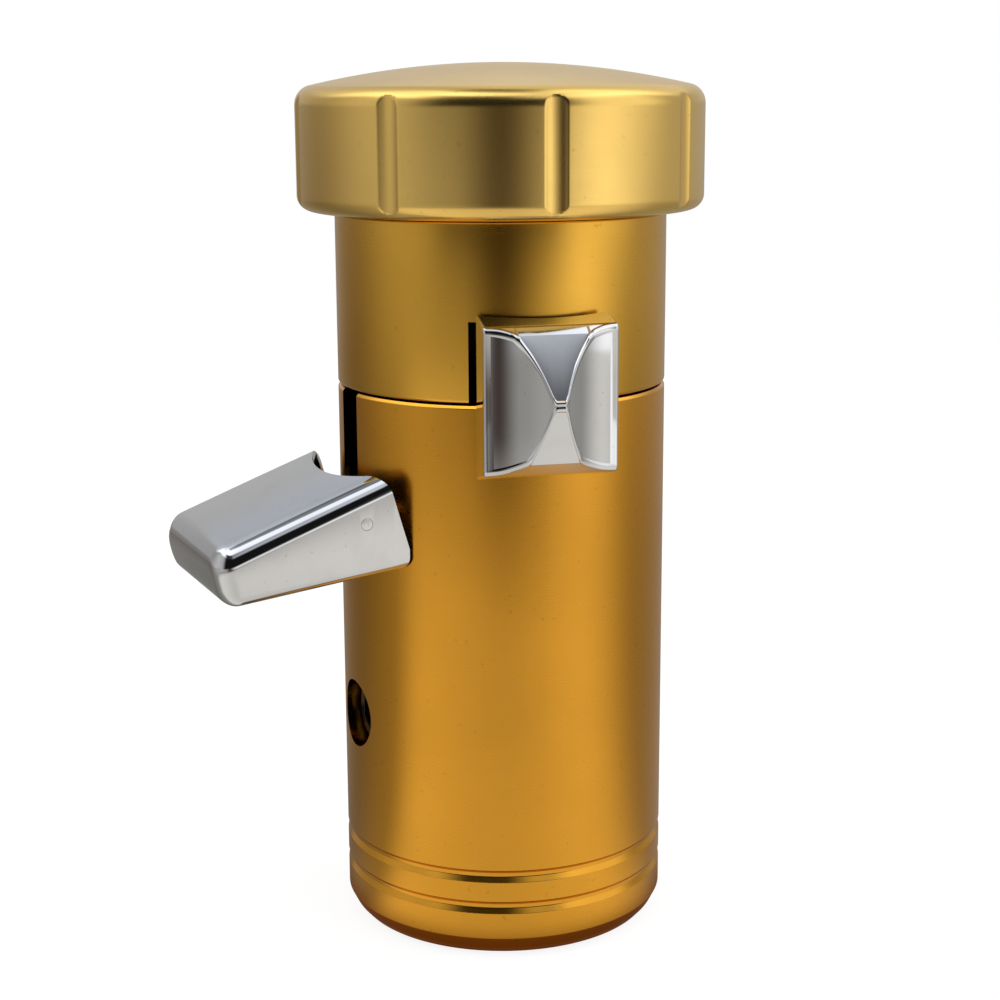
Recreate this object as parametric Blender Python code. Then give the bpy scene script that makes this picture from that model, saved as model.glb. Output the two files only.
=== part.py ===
"""Two-lever gear shift knob: a turned two-part barrel with a fluted cap.

A flip lever works the range valve in the lower barrel, and a beaked thumb lever
works the splitter valve in the upper barrel. Metres, +Z up, origin at the centre
of the base. Azimuths are turned about +Z from -Y, positive towards +X.
"""

import math

import bmesh
import bpy
from mathutils import Matrix, Vector

# Barrel
BARREL_RADIUS = 0.0225
BARREL_WALL = 0.0045
LOWER_HEIGHT = 0.0756
UPPER_HEIGHT = 0.0232
PARTING_GAP = 0.0004
RIM_CHAMFER = 0.0003
BASE_CHAMFER_HEIGHT = 0.0022
BASE_CHAMFER_WIDTH = 0.0017
BASE_ROUND_HEIGHT = 0.0007
BASE_ROUND_WIDTH = 0.0006
GROOVE_TOPS = (0.01224, 0.00776)
GROOVE_WIDTH = 0.00135
GROOVE_DEPTH = 0.0005
LEDGE_HEIGHT = 0.0042
LEDGE_WIDTH = 0.0020
WEB_HEIGHT = 0.0030
WEB_HOLE_RADIUS = 0.0080
NECK_STEP = 0.0020
NECK_HEIGHT = 0.0098

# Cap
CAP_OVERHANG = 0.0050
CAP_SIDE_HEIGHT = 0.01645
CAP_SHOULDER_RADIUS = 0.0026
CAP_FOOT_RADIUS = 0.0020
CAP_DOME_RISE = 0.0029
CAP_ROOF = 0.0065
FLUTE_COUNT = 8
FLUTE_RADIUS = 0.0030
FLUTE_DEPTH = 0.0006
FLUTE_OVERRUN = 0.0020
FLUTE_FIRST_AZIMUTH = math.radians(1.1)
CAP_SEAL_SECTION = 0.0007

# Clearances
SEAT_GAP = 0.0003
RUN_GAP = 0.0003
PIN_GAP = 0.0002

# Valve bodies
RANGE_BODY_HEIGHT = 0.0275
RANGE_BODY_DROP = 0.0028
PIN_RADIUS = 0.0015
PIN_INSET = 0.0014
SPOOL_RADIUS = 0.0036
WAIST_RADIUS = 0.0016
SEAL_SECTION = 0.0005
SEAL_GROOVE_DEPTH = 0.0013
DETENT_BALL_RADIUS = 0.0012
DETENT_GROOVE_DEPTH = 0.0004
DETENT_SPRING_LENGTH = 0.0055
DETENT_SPRING_WIRE = 0.00022
DETENT_SPRING_TURNS = 5
DETENT_PLUG_LENGTH = 0.0040
DETENT_PLUG_HEX = 0.0006
DETENT_PLUG_SOCKET = 0.0012
SPOOL_TOP_INSET = 0.0012

# Range lever
RANGE_AZIMUTH = math.radians(-79.0)
RANGE_PIVOT_INSET = 0.01125
RANGE_PIVOT_DROP = 0.0126
RANGE_FLIP = math.radians(26.0)
RANGE_DROOP = math.radians(12.0)
RANGE_ARM_WIDTH = 0.0046
RANGE_ARM_REACH = 0.0225
RANGE_ARM_ROOT = 0.0027
RANGE_ARM_TIP = 0.0022
RANGE_HUB_RADIUS = 0.0040
RANGE_HUB_PROUD = 0.0001
FINGER_LENGTH = 0.0056
FINGER_ROOT = 0.0020
FINGER_RADIUS = 0.0015
RANGE_SLOT_SIDE = 0.00055
RANGE_SLOT_MARGIN = 0.0006
LEVER_WIDTH = 0.0254
LEVER_WALL = 0.0010
LEVER_EDGE_RADIUS = 0.0024
LEVER_TOP_RISE = 0.0033
LEVER_TOP_DROOP = math.radians(20.5)
LEVER_BOTTOM_FALL = 0.0099
LEVER_BOTTOM_DROOP = math.radians(6.3)
LEVER_REACH = 0.0232
LEVER_END_FALL = 0.00495
LEVER_END_LEAN = math.radians(12.5)
LEVER_ROOT_GAP = 0.0004
LEVER_ROOT_FALL = 0.0081
LEVER_SCALLOP_GAP = 0.0039
LEVER_SCALLOP_RISE = 0.0030
LEVER_SCALLOP_CENTRE = 0.0075
LEVER_RIB = 0.0015
LEVER_PIN_RADIUS = 0.0008
LEVER_PIN_REACH = 0.0140

# Splitter lever
SPLITTER_PIVOT_SETBACK = 0.01125
SPLITTER_PIVOT_RISE = 0.0054
SPLITTER_FLIP = math.radians(7.5)
SPLITTER_ARM_WIDTH = 0.0090
SPLITTER_EYE_RADIUS = 0.0035
SPLITTER_NECK_WIDTH = 0.0150
SPLITTER_NECK_HEIGHT = 0.0050
SPLITTER_NECK_LIFT = 0.0006
SPLITTER_NECK_LENGTH = 0.0085
SPLITTER_TENON_WIDTH = 0.0056
SPLITTER_TENON_HEIGHT = 0.0040
SPLITTER_TENON_LENGTH = 0.0042
SPLITTER_SLOT_SIDE = 0.0017
SPLITTER_SLOT_MARGIN = 0.0009
SPLITTER_CHANNEL_MARGIN = 0.0005
SPLITTER_SPOOL_REACH = 0.01425
STEM_RADIUS = 0.0015
STEM_PLAY = 0.0006
CLIP_RADIUS = 0.0028
CLIP_HEIGHT = 0.0006
CLIP_GROOVE_DEPTH = 0.0004
BEAK_WIDTH = 0.0173
BEAK_BARREL_GAP = 0.00135
BEAK_NOSE_REACH = 0.0087
BEAK_NOSE_RISE = 0.0012
BEAK_BACK_HALF_HEIGHT = 0.0101
BEAK_ROOF_SLOPE = 0.26
BEAK_ROOF_REACH = 0.0037
BEAK_BROW_REACH = 0.0049
BEAK_BROW_HEIGHT = 0.0084
BEAK_CHIN_REACH = 0.0058
BEAK_CHIN_HEIGHT = 0.0077
BEAK_NOSE_HALF_HEIGHT = 0.0003
COVE_RADIUS = 0.0094
COVE_OFFSET = 0.0086
COVE_FLOOR_REACH = 0.00405

# Mounting hub, fittings and screws
HUB_HEIGHT = 0.0178
HUB_BORE_RADIUS = 0.0065
HUB_BORE_DEPTH = 0.0138
AIR_HOLE_RADIUS = 0.0034
AIR_HOLE_TURNS = (120.0, 180.0, 240.0)
HUB_SCREW_TURNS = (60.0, 300.0)
SET_SCREW_DROP = 0.0097
SET_SCREW_RADIUS = 0.0042
SET_SCREW_RIM = 0.0005
SET_SCREW_RECESS = 0.0022
SET_SCREW_LENGTH = 0.0085
SET_SCREW_HEX = 0.0025
SCREW_RADIUS = 0.0015
SCREW_HEAD_RADIUS = 0.0028
SCREW_HEAD_HEIGHT = 0.0026
SCREW_HEX = 0.00125
SCREW_SOCKET_DEPTH = 0.0016
SCREW_BITE = 0.0060
TIE_SCREW_EDGE = 0.0013
TIE_SCREW_TURN = math.radians(116.0)
FITTING_THREAD_RADIUS = 0.0024
FITTING_THREAD_LENGTH = 0.0040
FITTING_HEX = 0.0031
FITTING_HEX_HEIGHT = 0.0030
FITTING_TAIL_RADIUS = 0.0018
FITTING_BARB_RADIUS = 0.0023
FITTING_BARB_PITCH = 0.0028
FITTING_BARB_LENGTH = 0.0022
FITTING_TAIL_NECK = 0.0011
FITTING_BARBS = 3

# Facets
BARREL_FACETS = 48
CAP_FACETS = 48
BORE_FACETS = 24
SMALL_FACETS = 16
RING_FACETS = 16
SECTION_FACETS = 6
BALL_FACETS = 12
ARC_STEPS = 4
TAPER_STEPS = 6
DOME_STEPS = 5
SPRING_STEPS = 8
SHARP_ANGLE = math.radians(35.0)

# Places that follow from the sizes above
BORE_RADIUS = BARREL_RADIUS - BARREL_WALL
CORE_RADIUS = BORE_RADIUS - SEAT_GAP
LEDGE_RADIUS = BORE_RADIUS - LEDGE_WIDTH
PARTING_Z = LOWER_HEIGHT
LOWER_TOP_Z = PARTING_Z - PARTING_GAP / 2
UPPER_BOTTOM_Z = PARTING_Z + PARTING_GAP / 2
SHOULDER_Z = PARTING_Z + UPPER_HEIGHT
NECK_TOP_Z = SHOULDER_Z + NECK_HEIGHT
NECK_RADIUS = BARREL_RADIUS - NECK_STEP
CAP_RADIUS = BARREL_RADIUS + CAP_OVERHANG
CAP_BOTTOM_Z = SHOULDER_Z + SEAT_GAP
CAP_SIDE_TOP_Z = CAP_BOTTOM_Z + CAP_SIDE_HEIGHT
CAP_TOP_Z = CAP_SIDE_TOP_Z + CAP_DOME_RISE
RANGE_BODY_TOP_Z = PARTING_Z - RANGE_BODY_DROP
RANGE_BODY_BOTTOM_Z = RANGE_BODY_TOP_Z - RANGE_BODY_HEIGHT
LEDGE_TOP_Z = RANGE_BODY_BOTTOM_Z - SEAT_GAP
LEDGE_BOTTOM_Z = LEDGE_TOP_Z - LEDGE_HEIGHT
HUB_TOP_Z = LEDGE_BOTTOM_Z - SEAT_GAP
HUB_BOTTOM_Z = HUB_TOP_Z - HUB_HEIGHT
SET_SCREW_Z = HUB_TOP_Z - SET_SCREW_DROP
SET_SCREW_WINDOW = SET_SCREW_RADIUS + SET_SCREW_RIM
HUB_HOLE_CIRCLE = LEDGE_RADIUS - FITTING_HEX / math.cos(math.pi / 6) - SEAT_GAP
TIE_SCREW_CIRCLE = BORE_RADIUS - SCREW_HEAD_RADIUS - TIE_SCREW_EDGE
TIE_SCREW_X = TIE_SCREW_CIRCLE * math.cos(TIE_SCREW_TURN)
TIE_SCREW_Y = TIE_SCREW_CIRCLE * math.sin(TIE_SCREW_TURN)
SPLITTER_BODY_BOTTOM_Z = RANGE_BODY_TOP_Z + SEAT_GAP
WEB_BOTTOM_Z = SHOULDER_Z
WEB_TOP_Z = WEB_BOTTOM_Z + WEB_HEIGHT
SPLITTER_BODY_TOP_Z = WEB_BOTTOM_Z - SEAT_GAP

RANGE_PIVOT_X = BARREL_RADIUS - RANGE_PIVOT_INSET
RANGE_PIVOT_Z = PARTING_Z - RANGE_PIVOT_DROP
RANGE_PIVOT = (RANGE_PIVOT_X, 0.0, RANGE_PIVOT_Z)
FINGER_X = RANGE_PIVOT_X - FINGER_LENGTH * math.cos(RANGE_FLIP / 2)
FINGER_Z = RANGE_PIVOT_Z + FINGER_LENGTH * math.sin(RANGE_FLIP / 2)
RANGE_TRAVEL = 2 * FINGER_LENGTH * math.sin(RANGE_FLIP / 2)
RANGE_SPOOL_X = RANGE_PIVOT_X - FINGER_LENGTH - FINGER_RADIUS - RUN_GAP - WAIST_RADIUS
SPOOL_BORE_RADIUS = SPOOL_RADIUS + RUN_GAP

SPLITTER_PIVOT_X = -SPLITTER_PIVOT_SETBACK
SPLITTER_PIVOT_Z = PARTING_Z + SPLITTER_PIVOT_RISE
SPLITTER_PIVOT = (SPLITTER_PIVOT_X, 0.0, SPLITTER_PIVOT_Z)
SPLITTER_SPOOL_X = SPLITTER_PIVOT_X + SPLITTER_SPOOL_REACH
SPLITTER_TRAVEL = SPLITTER_SPOOL_REACH * math.sin(SPLITTER_FLIP)
NECK_BOTTOM_Z = LOWER_TOP_Z + SPLITTER_NECK_LIFT
NECK_MIDDLE_Z = NECK_BOTTOM_Z + SPLITTER_NECK_HEIGHT / 2
BEAK_BACK_RADIUS = BARREL_RADIUS + BEAK_BARREL_GAP
NECK_END_X = math.sqrt(BEAK_BACK_RADIUS ** 2 - (SPLITTER_NECK_WIDTH / 2) ** 2) - SEAT_GAP
NECK_START_X = NECK_END_X - SPLITTER_NECK_LENGTH
NECK_SWEEP = (NECK_END_X - SPLITTER_PIVOT_X) * math.sin(SPLITTER_FLIP)
SPLITTER_SLOT_TOP_Z = NECK_BOTTOM_Z + SPLITTER_NECK_HEIGHT + NECK_SWEEP + SPLITTER_SLOT_MARGIN
CHANNEL_TOP_Z = SPLITTER_SLOT_TOP_Z + SPLITTER_CHANNEL_MARGIN
NOSE_Z = PARTING_Z + BEAK_NOSE_RISE

GOLD = ("barrel_gold", (0.56, 0.31, 0.045), 0.34, 1.0)
CHAMPAGNE = ("cap_gold", (0.66, 0.50, 0.19), 0.30, 1.0)
CHROME = ("lever_chrome", (0.86, 0.86, 0.87), 0.06, 1.0)
STEEL = ("plain_steel", (0.55, 0.56, 0.58), 0.28, 1.0)
SPRING_STEEL = ("spring_steel", (0.42, 0.43, 0.45), 0.30, 1.0)
BLACK_STEEL = ("blackened_steel", (0.05, 0.05, 0.055), 0.42, 1.0)
BRASS = ("fitting_brass", (0.74, 0.55, 0.24), 0.30, 1.0)
CORE_PLASTIC = ("valve_acetal", (0.03, 0.03, 0.032), 0.48, 0.0)
HUB_ALLOY = ("hub_alloy", (0.62, 0.63, 0.65), 0.36, 1.0)
RUBBER = ("seal_rubber", (0.02, 0.02, 0.02), 0.65, 0.0)


def clear_scene():
    for item in list(bpy.data.objects):
        bpy.data.objects.remove(item, do_unlink=True)


def finish_material(finish):
    """The Principled material of one finish, made once."""
    name, colour, roughness, metallic = finish
    if name in bpy.data.materials:
        return bpy.data.materials[name]
    made = bpy.data.materials.new(name)
    made.use_nodes = True
    shader = made.node_tree.nodes["Principled BSDF"]
    shader.inputs["Base Color"].default_value = (*colour, 1.0)
    shader.inputs["Roughness"].default_value = roughness
    shader.inputs["Metallic"].default_value = metallic
    return made


def lever_frame(name, azimuth):
    """An empty on the barrel's axis whose +X points out along an azimuth."""
    frame = bpy.data.objects.new(name, None)
    frame.rotation_euler = (0.0, 0.0, azimuth - math.pi / 2)
    bpy.context.collection.objects.link(frame)
    return frame


def place(name, shape, finish, frame=None, origin=(0.0, 0.0, 0.0)):
    """A named piece whose origin sits at a point of its frame."""
    mesh = bpy.data.meshes.new(name)
    bmesh.ops.translate(shape, verts=shape.verts, vec=[-value for value in origin])
    shape.to_mesh(mesh)
    shape.free()
    mesh.shade_smooth()
    mesh.set_sharp_from_angle(angle=SHARP_ANGLE)
    mesh.materials.append(finish_material(finish))
    piece = bpy.data.objects.new(name, mesh)
    piece.parent = frame
    piece.location = origin
    bpy.context.collection.objects.link(piece)
    return piece


def combine(piece, shape, operation, frame=None):
    """A Boolean on a piece with a hidden helper shape."""
    count = len(piece.modifiers) + 1
    mesh = bpy.data.meshes.new(f"{piece.name}_helper_{count}")
    shape.to_mesh(mesh)
    shape.free()
    helper = bpy.data.objects.new(mesh.name, mesh)
    helper.parent = frame
    helper.hide_render = True
    helper.display_type = "WIRE"
    bpy.context.collection.objects.link(helper)
    modifier = piece.modifiers.new(f"{operation.lower()}_{count}", "BOOLEAN")
    modifier.operation = operation
    modifier.solver = "EXACT"
    modifier.object = helper


def cut(piece, shape, frame=None):
    combine(piece, shape, "DIFFERENCE", frame)


def unite(piece, shape, frame=None):
    combine(piece, shape, "UNION", frame)


def turned(profile, facets, closed=False, centre=(0.0, 0.0)):
    """A profile of (radius, height) pairs spun about a vertical axis."""
    shape = bmesh.new()
    points = [shape.verts.new((radius, 0.0, height)) for radius, height in profile]
    edges = [shape.edges.new(pair) for pair in zip(points, points[1:])]
    if closed:
        edges.append(shape.edges.new((points[-1], points[0])))
    bmesh.ops.spin(
        shape,
        geom=points + edges,
        cent=(0.0, 0.0, 0.0),
        axis=(0.0, 0.0, 1.0),
        angle=2 * math.pi,
        steps=facets,
        use_merge=True,
    )
    bmesh.ops.remove_doubles(shape, verts=shape.verts, dist=1e-7)
    bmesh.ops.recalc_face_normals(shape, faces=shape.faces)
    bmesh.ops.translate(shape, verts=shape.verts, vec=(*centre, 0.0))
    return shape


def rod(radius, low, high, facets=SMALL_FACETS, centre=(0.0, 0.0)):
    """An upright cylinder."""
    return turned([(0.0, high), (radius, high), (radius, low), (0.0, low)], facets, centre=centre)


def pipe(inner, outer, low, high, facets, centre=(0.0, 0.0)):
    """An upright tube."""
    profile = [(inner, high), (outer, high), (outer, low), (inner, low)]
    return turned(profile, facets, closed=True, centre=centre)


def ring_seal(middle_radius, section, height, facets=RING_FACETS, centre=(0.0, 0.0)):
    """An O-ring lying flat."""
    turns = [2 * math.pi * step / SECTION_FACETS for step in range(SECTION_FACETS)]
    profile = [
        (middle_radius + section * math.cos(turn), height - section * math.sin(turn))
        for turn in turns
    ]
    return turned(profile, facets, closed=True, centre=centre)


def hexagon(flat_radius, low, high, centre=(0.0, 0.0)):
    """An upright hexagonal prism, sized to its flats."""
    return rod(flat_radius / math.cos(math.pi / 6), low, high, facets=6, centre=centre)


def block(low, high):
    """A box between two corners."""
    shape = bmesh.new()
    bmesh.ops.create_cube(shape, size=1.0)
    size = [b - a for a, b in zip(low, high)]
    middle = [(a + b) / 2 for a, b in zip(low, high)]
    bmesh.ops.scale(shape, verts=shape.verts, vec=size)
    bmesh.ops.translate(shape, verts=shape.verts, vec=middle)
    return shape


def plate(outline, low_y, high_y):
    """An outline in the X-Z plane, extruded along Y."""
    shape = bmesh.new()
    face = shape.faces.new([shape.verts.new((x, low_y, z)) for x, z in outline])
    grown = bmesh.ops.extrude_face_region(shape, geom=[face])
    moved = [item for item in grown["geom"] if isinstance(item, bmesh.types.BMVert)]
    bmesh.ops.translate(shape, verts=moved, vec=(0.0, high_y - low_y, 0.0))
    bmesh.ops.recalc_face_normals(shape, faces=shape.faces)
    return shape


def taper(start, start_radius, end, end_radius):
    """The outline round two circles and the tangents between them."""
    along = math.atan2(end[1] - start[1], end[0] - start[0])
    span = math.dist(start, end)
    spread = math.acos((start_radius - end_radius) / span)
    outline = []
    for centre, radius, first, last in (
        (start, start_radius, along + spread, along + 2 * math.pi - spread),
        (end, end_radius, along - spread, along + spread),
    ):
        for step in range(TAPER_STEPS + 1):
            turn = first + (last - first) * step / TAPER_STEPS
            outline.append((centre[0] + radius * math.cos(turn), centre[1] + radius * math.sin(turn)))
    return outline


def lay_along_y(shape, point):
    """An upright shape about the origin turned to lie along Y through a point."""
    bmesh.ops.rotate(shape, verts=shape.verts, matrix=Matrix.Rotation(math.pi / 2, 3, "X"))
    bmesh.ops.translate(shape, verts=shape.verts, vec=point)
    return shape


def lay_along_x(shape, point):
    """An upright shape about the origin turned to lie along X through a point."""
    bmesh.ops.rotate(shape, verts=shape.verts, matrix=Matrix.Rotation(math.pi / 2, 3, "Y"))
    bmesh.ops.translate(shape, verts=shape.verts, vec=point)
    return shape


def arc(centre, radius, first, last, steps=ARC_STEPS):
    """Points of (radius, height) on an arc, in degrees from level."""
    turns = [math.radians(first + (last - first) * step / steps) for step in range(steps + 1)]
    return [(centre[0] + radius * math.cos(turn), centre[1] + radius * math.sin(turn)) for turn in turns]


def hub_place(turn):
    """A point of the hub's hole circle, turned from the range lever's azimuth."""
    angle = math.radians(turn)
    return (HUB_HOLE_CIRCLE * math.cos(angle), HUB_HOLE_CIRCLE * math.sin(angle))


def groove_profile(top):
    """A round-bottomed groove in the barrel, from its top edge down."""
    middle = top - GROOVE_WIDTH / 2
    return [
        (BARREL_RADIUS, top),
        (BARREL_RADIUS - GROOVE_DEPTH, middle + GROOVE_WIDTH / 4),
        (BARREL_RADIUS - GROOVE_DEPTH, middle - GROOVE_WIDTH / 4),
        (BARREL_RADIUS, top - GROOVE_WIDTH),
    ]


def make_lower_barrel(range_frame):
    profile = [(BORE_RADIUS, LOWER_TOP_Z), (BARREL_RADIUS - RIM_CHAMFER, LOWER_TOP_Z)]
    profile.append((BARREL_RADIUS, LOWER_TOP_Z - RIM_CHAMFER))
    for top in GROOVE_TOPS:
        profile += groove_profile(top)
    profile += [
        (BARREL_RADIUS, BASE_CHAMFER_HEIGHT),
        (BARREL_RADIUS - BASE_ROUND_WIDTH, BASE_ROUND_HEIGHT),
        (BARREL_RADIUS - BASE_CHAMFER_WIDTH, 0.0),
        (BORE_RADIUS, 0.0),
        (BORE_RADIUS, LEDGE_BOTTOM_Z),
        (LEDGE_RADIUS, LEDGE_BOTTOM_Z),
        (LEDGE_RADIUS, LEDGE_TOP_Z),
        (BORE_RADIUS, LEDGE_TOP_Z),
    ]
    piece = place("lower_barrel", turned(profile, BARREL_FACETS, closed=True), GOLD)
    droop = RANGE_PIVOT_INSET * math.tan(RANGE_DROOP) + RANGE_ARM_ROOT / math.cos(RANGE_DROOP)
    slot_bottom = RANGE_PIVOT_Z - droop - RANGE_SLOT_MARGIN
    slot_half = RANGE_ARM_WIDTH / 2 + RANGE_SLOT_SIDE
    slot = block(
        (BORE_RADIUS - BARREL_WALL, -slot_half, slot_bottom),
        (BARREL_RADIUS + BARREL_WALL, slot_half, PARTING_Z + BARREL_WALL),
    )
    cut(piece, slot, range_frame)
    window = rod(SET_SCREW_WINDOW, 0.0, 2 * BARREL_WALL, BORE_FACETS)
    cut(piece, lay_along_x(window, (BORE_RADIUS - BARREL_WALL / 2, 0.0, SET_SCREW_Z)), range_frame)


def make_upper_barrel(splitter_frame):
    seal_bottom = SHOULDER_Z + NECK_HEIGHT / 2 - CAP_SEAL_SECTION - SEAT_GAP
    seal_top = seal_bottom + 2 * (CAP_SEAL_SECTION + SEAT_GAP)
    seal_floor = NECK_RADIUS + SEAT_GAP - 2 * CAP_SEAL_SECTION - 2 * SEAT_GAP
    profile = [
        (BORE_RADIUS, NECK_TOP_Z),
        (NECK_RADIUS, NECK_TOP_Z),
        (NECK_RADIUS, seal_top),
        (seal_floor, seal_top),
        (seal_floor, seal_bottom),
        (NECK_RADIUS, seal_bottom),
        (NECK_RADIUS, SHOULDER_Z),
        (BARREL_RADIUS, SHOULDER_Z),
        (BARREL_RADIUS, UPPER_BOTTOM_Z),
        (BORE_RADIUS, UPPER_BOTTOM_Z),
        (BORE_RADIUS, WEB_BOTTOM_Z),
        (WEB_HOLE_RADIUS, WEB_BOTTOM_Z),
        (WEB_HOLE_RADIUS, WEB_TOP_Z),
        (BORE_RADIUS, WEB_TOP_Z),
    ]
    piece = place("upper_barrel", turned(profile, BARREL_FACETS, closed=True), GOLD)
    slot_half = SPLITTER_NECK_WIDTH / 2 + SPLITTER_SLOT_SIDE
    slot = block(
        (BORE_RADIUS - BARREL_WALL, -slot_half, PARTING_Z - BARREL_WALL),
        (BARREL_RADIUS + BARREL_WALL, slot_half, SPLITTER_SLOT_TOP_Z),
    )
    cut(piece, slot, splitter_frame)
    for side in (-1, 1):
        centre = (TIE_SCREW_X, side * TIE_SCREW_Y)
        hole_bottom = WEB_BOTTOM_Z - WEB_HEIGHT
        hole_top = WEB_TOP_Z + WEB_HEIGHT
        cut(piece, rod(SCREW_RADIUS + SEAT_GAP, hole_bottom, hole_top, centre=centre), splitter_frame)


def make_cap():
    bore = NECK_RADIUS + SEAT_GAP
    ceiling = CAP_TOP_Z - CAP_ROOF
    shoulder = (CAP_RADIUS - CAP_SHOULDER_RADIUS, CAP_SIDE_TOP_Z - CAP_SHOULDER_RADIUS)
    foot = (CAP_RADIUS - CAP_FOOT_RADIUS, CAP_BOTTOM_Z + CAP_FOOT_RADIUS)
    dome_edge = shoulder[0]
    profile = []
    for step in range(DOME_STEPS):
        radius = dome_edge * step / DOME_STEPS
        profile.append((radius, CAP_TOP_Z - CAP_DOME_RISE * (radius / dome_edge) ** 2))
    profile += arc(shoulder, CAP_SHOULDER_RADIUS, 80.0, 0.0)
    profile += arc(foot, CAP_FOOT_RADIUS, 0.0, -90.0)
    profile += [(bore, CAP_BOTTOM_Z), (bore, ceiling), (0.0, ceiling)]
    piece = place("top_cap", turned(profile, CAP_FACETS), CHAMPAGNE)
    reach = CAP_RADIUS + FLUTE_RADIUS - FLUTE_DEPTH
    low = CAP_BOTTOM_Z - FLUTE_OVERRUN
    high = CAP_SIDE_TOP_Z + FLUTE_OVERRUN
    for flute in range(FLUTE_COUNT):
        angle = FLUTE_FIRST_AZIMUTH - math.pi / 2 + 2 * math.pi * flute / FLUTE_COUNT
        centre = (reach * math.cos(angle), reach * math.sin(angle))
        cut(piece, rod(FLUTE_RADIUS, low, high, BORE_FACETS, centre=centre))
    seal_height = SHOULDER_Z + NECK_HEIGHT / 2
    seal_middle = NECK_RADIUS + SEAT_GAP - CAP_SEAL_SECTION - SEAT_GAP
    seal = ring_seal(seal_middle, CAP_SEAL_SECTION, seal_height, BARREL_FACETS)
    place("cap_seal", seal, RUBBER)


def socket_screw(name, frame, centre, low, high, finish, head_up=True):
    """A socket-head screw standing on its centre line."""
    if head_up:
        head = (high - SCREW_HEAD_HEIGHT, high)
        socket = (high - SCREW_SOCKET_DEPTH, high + SCREW_HEAD_HEIGHT)
        profile = [(0.0, head[1]), (SCREW_HEAD_RADIUS, head[1]), (SCREW_HEAD_RADIUS, head[0])]
        profile += [(SCREW_RADIUS, head[0]), (SCREW_RADIUS, low), (0.0, low)]
    else:
        head = (low, low + SCREW_HEAD_HEIGHT)
        socket = (low - SCREW_HEAD_HEIGHT, low + SCREW_SOCKET_DEPTH)
        profile = [(0.0, high), (SCREW_RADIUS, high), (SCREW_RADIUS, head[1])]
        profile += [(SCREW_HEAD_RADIUS, head[1]), (SCREW_HEAD_RADIUS, head[0]), (0.0, head[0])]
    piece = place(name, turned(profile, SMALL_FACETS, centre=centre), finish, frame)
    cut(piece, hexagon(SCREW_HEX, *socket, centre=centre), frame)


def make_hub(range_frame):
    below = HUB_BOTTOM_Z - HUB_HEIGHT
    above = HUB_TOP_Z + HUB_HEIGHT
    piece = place("mount_hub", rod(CORE_RADIUS, HUB_BOTTOM_Z, HUB_TOP_Z, BARREL_FACETS), HUB_ALLOY)
    cut(piece, rod(HUB_BORE_RADIUS, below, HUB_BOTTOM_Z + HUB_BORE_DEPTH, BORE_FACETS))
    for turn in AIR_HOLE_TURNS:
        cut(piece, rod(AIR_HOLE_RADIUS, below, above, centre=hub_place(turn)), range_frame)
    head_seat_z = HUB_TOP_Z - SCREW_BITE
    for number, turn in enumerate(HUB_SCREW_TURNS, 1):
        centre = hub_place(turn)
        shank = rod(SCREW_RADIUS + SEAT_GAP, head_seat_z - SEAT_GAP, above, centre=centre)
        cut(piece, shank, range_frame)
        pocket = rod(SCREW_HEAD_RADIUS + SEAT_GAP, below, head_seat_z, centre=centre)
        cut(piece, pocket, range_frame)
        low = head_seat_z - SEAT_GAP - SCREW_HEAD_HEIGHT
        high = RANGE_BODY_BOTTOM_Z + SCREW_BITE - SEAT_GAP
        socket_screw(f"hub_screw_{number}", range_frame, centre, low, high, BLACK_STEEL, head_up=False)
    tap = rod(SET_SCREW_RADIUS + SEAT_GAP, 0.0, BORE_RADIUS, BORE_FACETS)
    cut(piece, lay_along_x(tap, (HUB_BORE_RADIUS / 2, 0.0, SET_SCREW_Z)), range_frame)
    outer = BARREL_RADIUS - SET_SCREW_RECESS
    screw = lay_along_x(
        rod(SET_SCREW_RADIUS, 0.0, SET_SCREW_LENGTH, BORE_FACETS),
        (outer - SET_SCREW_LENGTH, 0.0, SET_SCREW_Z),
    )
    grub = place("set_screw", screw, BLACK_STEEL, range_frame)
    key = hexagon(SET_SCREW_HEX, 0.0, SET_SCREW_LENGTH)
    cut(grub, lay_along_x(key, (outer - SET_SCREW_LENGTH / 2, 0.0, SET_SCREW_Z)), range_frame)


def make_fittings(range_frame):
    """Brass hose tails screwed up into the range valve body."""
    hex_top = RANGE_BODY_BOTTOM_Z - SEAT_GAP
    hex_bottom = hex_top - FITTING_HEX_HEIGHT
    thread_top = RANGE_BODY_BOTTOM_Z + FITTING_THREAD_LENGTH
    for number, turn in enumerate(AIR_HOLE_TURNS, 1):
        centre = hub_place(turn)
        profile = [
            (0.0, thread_top),
            (FITTING_THREAD_RADIUS, thread_top),
            (FITTING_THREAD_RADIUS, hex_bottom + FITTING_HEX_HEIGHT / 2),
            (FITTING_TAIL_RADIUS, hex_bottom + FITTING_HEX_HEIGHT / 2),
        ]
        for barb in range(FITTING_BARBS):
            top = hex_bottom - FITTING_TAIL_NECK - FITTING_BARB_PITCH * barb
            profile.append((FITTING_TAIL_RADIUS, top))
            profile.append((FITTING_BARB_RADIUS, top))
            profile.append((FITTING_TAIL_RADIUS, top - FITTING_BARB_LENGTH))
        profile.append((0.0, profile[-1][1]))
        tail = turned(profile, SMALL_FACETS, centre=centre)
        piece = place(f"air_fitting_{number}", tail, BRASS, range_frame)
        unite(piece, hexagon(FITTING_HEX, hex_bottom, hex_top, centre=centre), range_frame)


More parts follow.
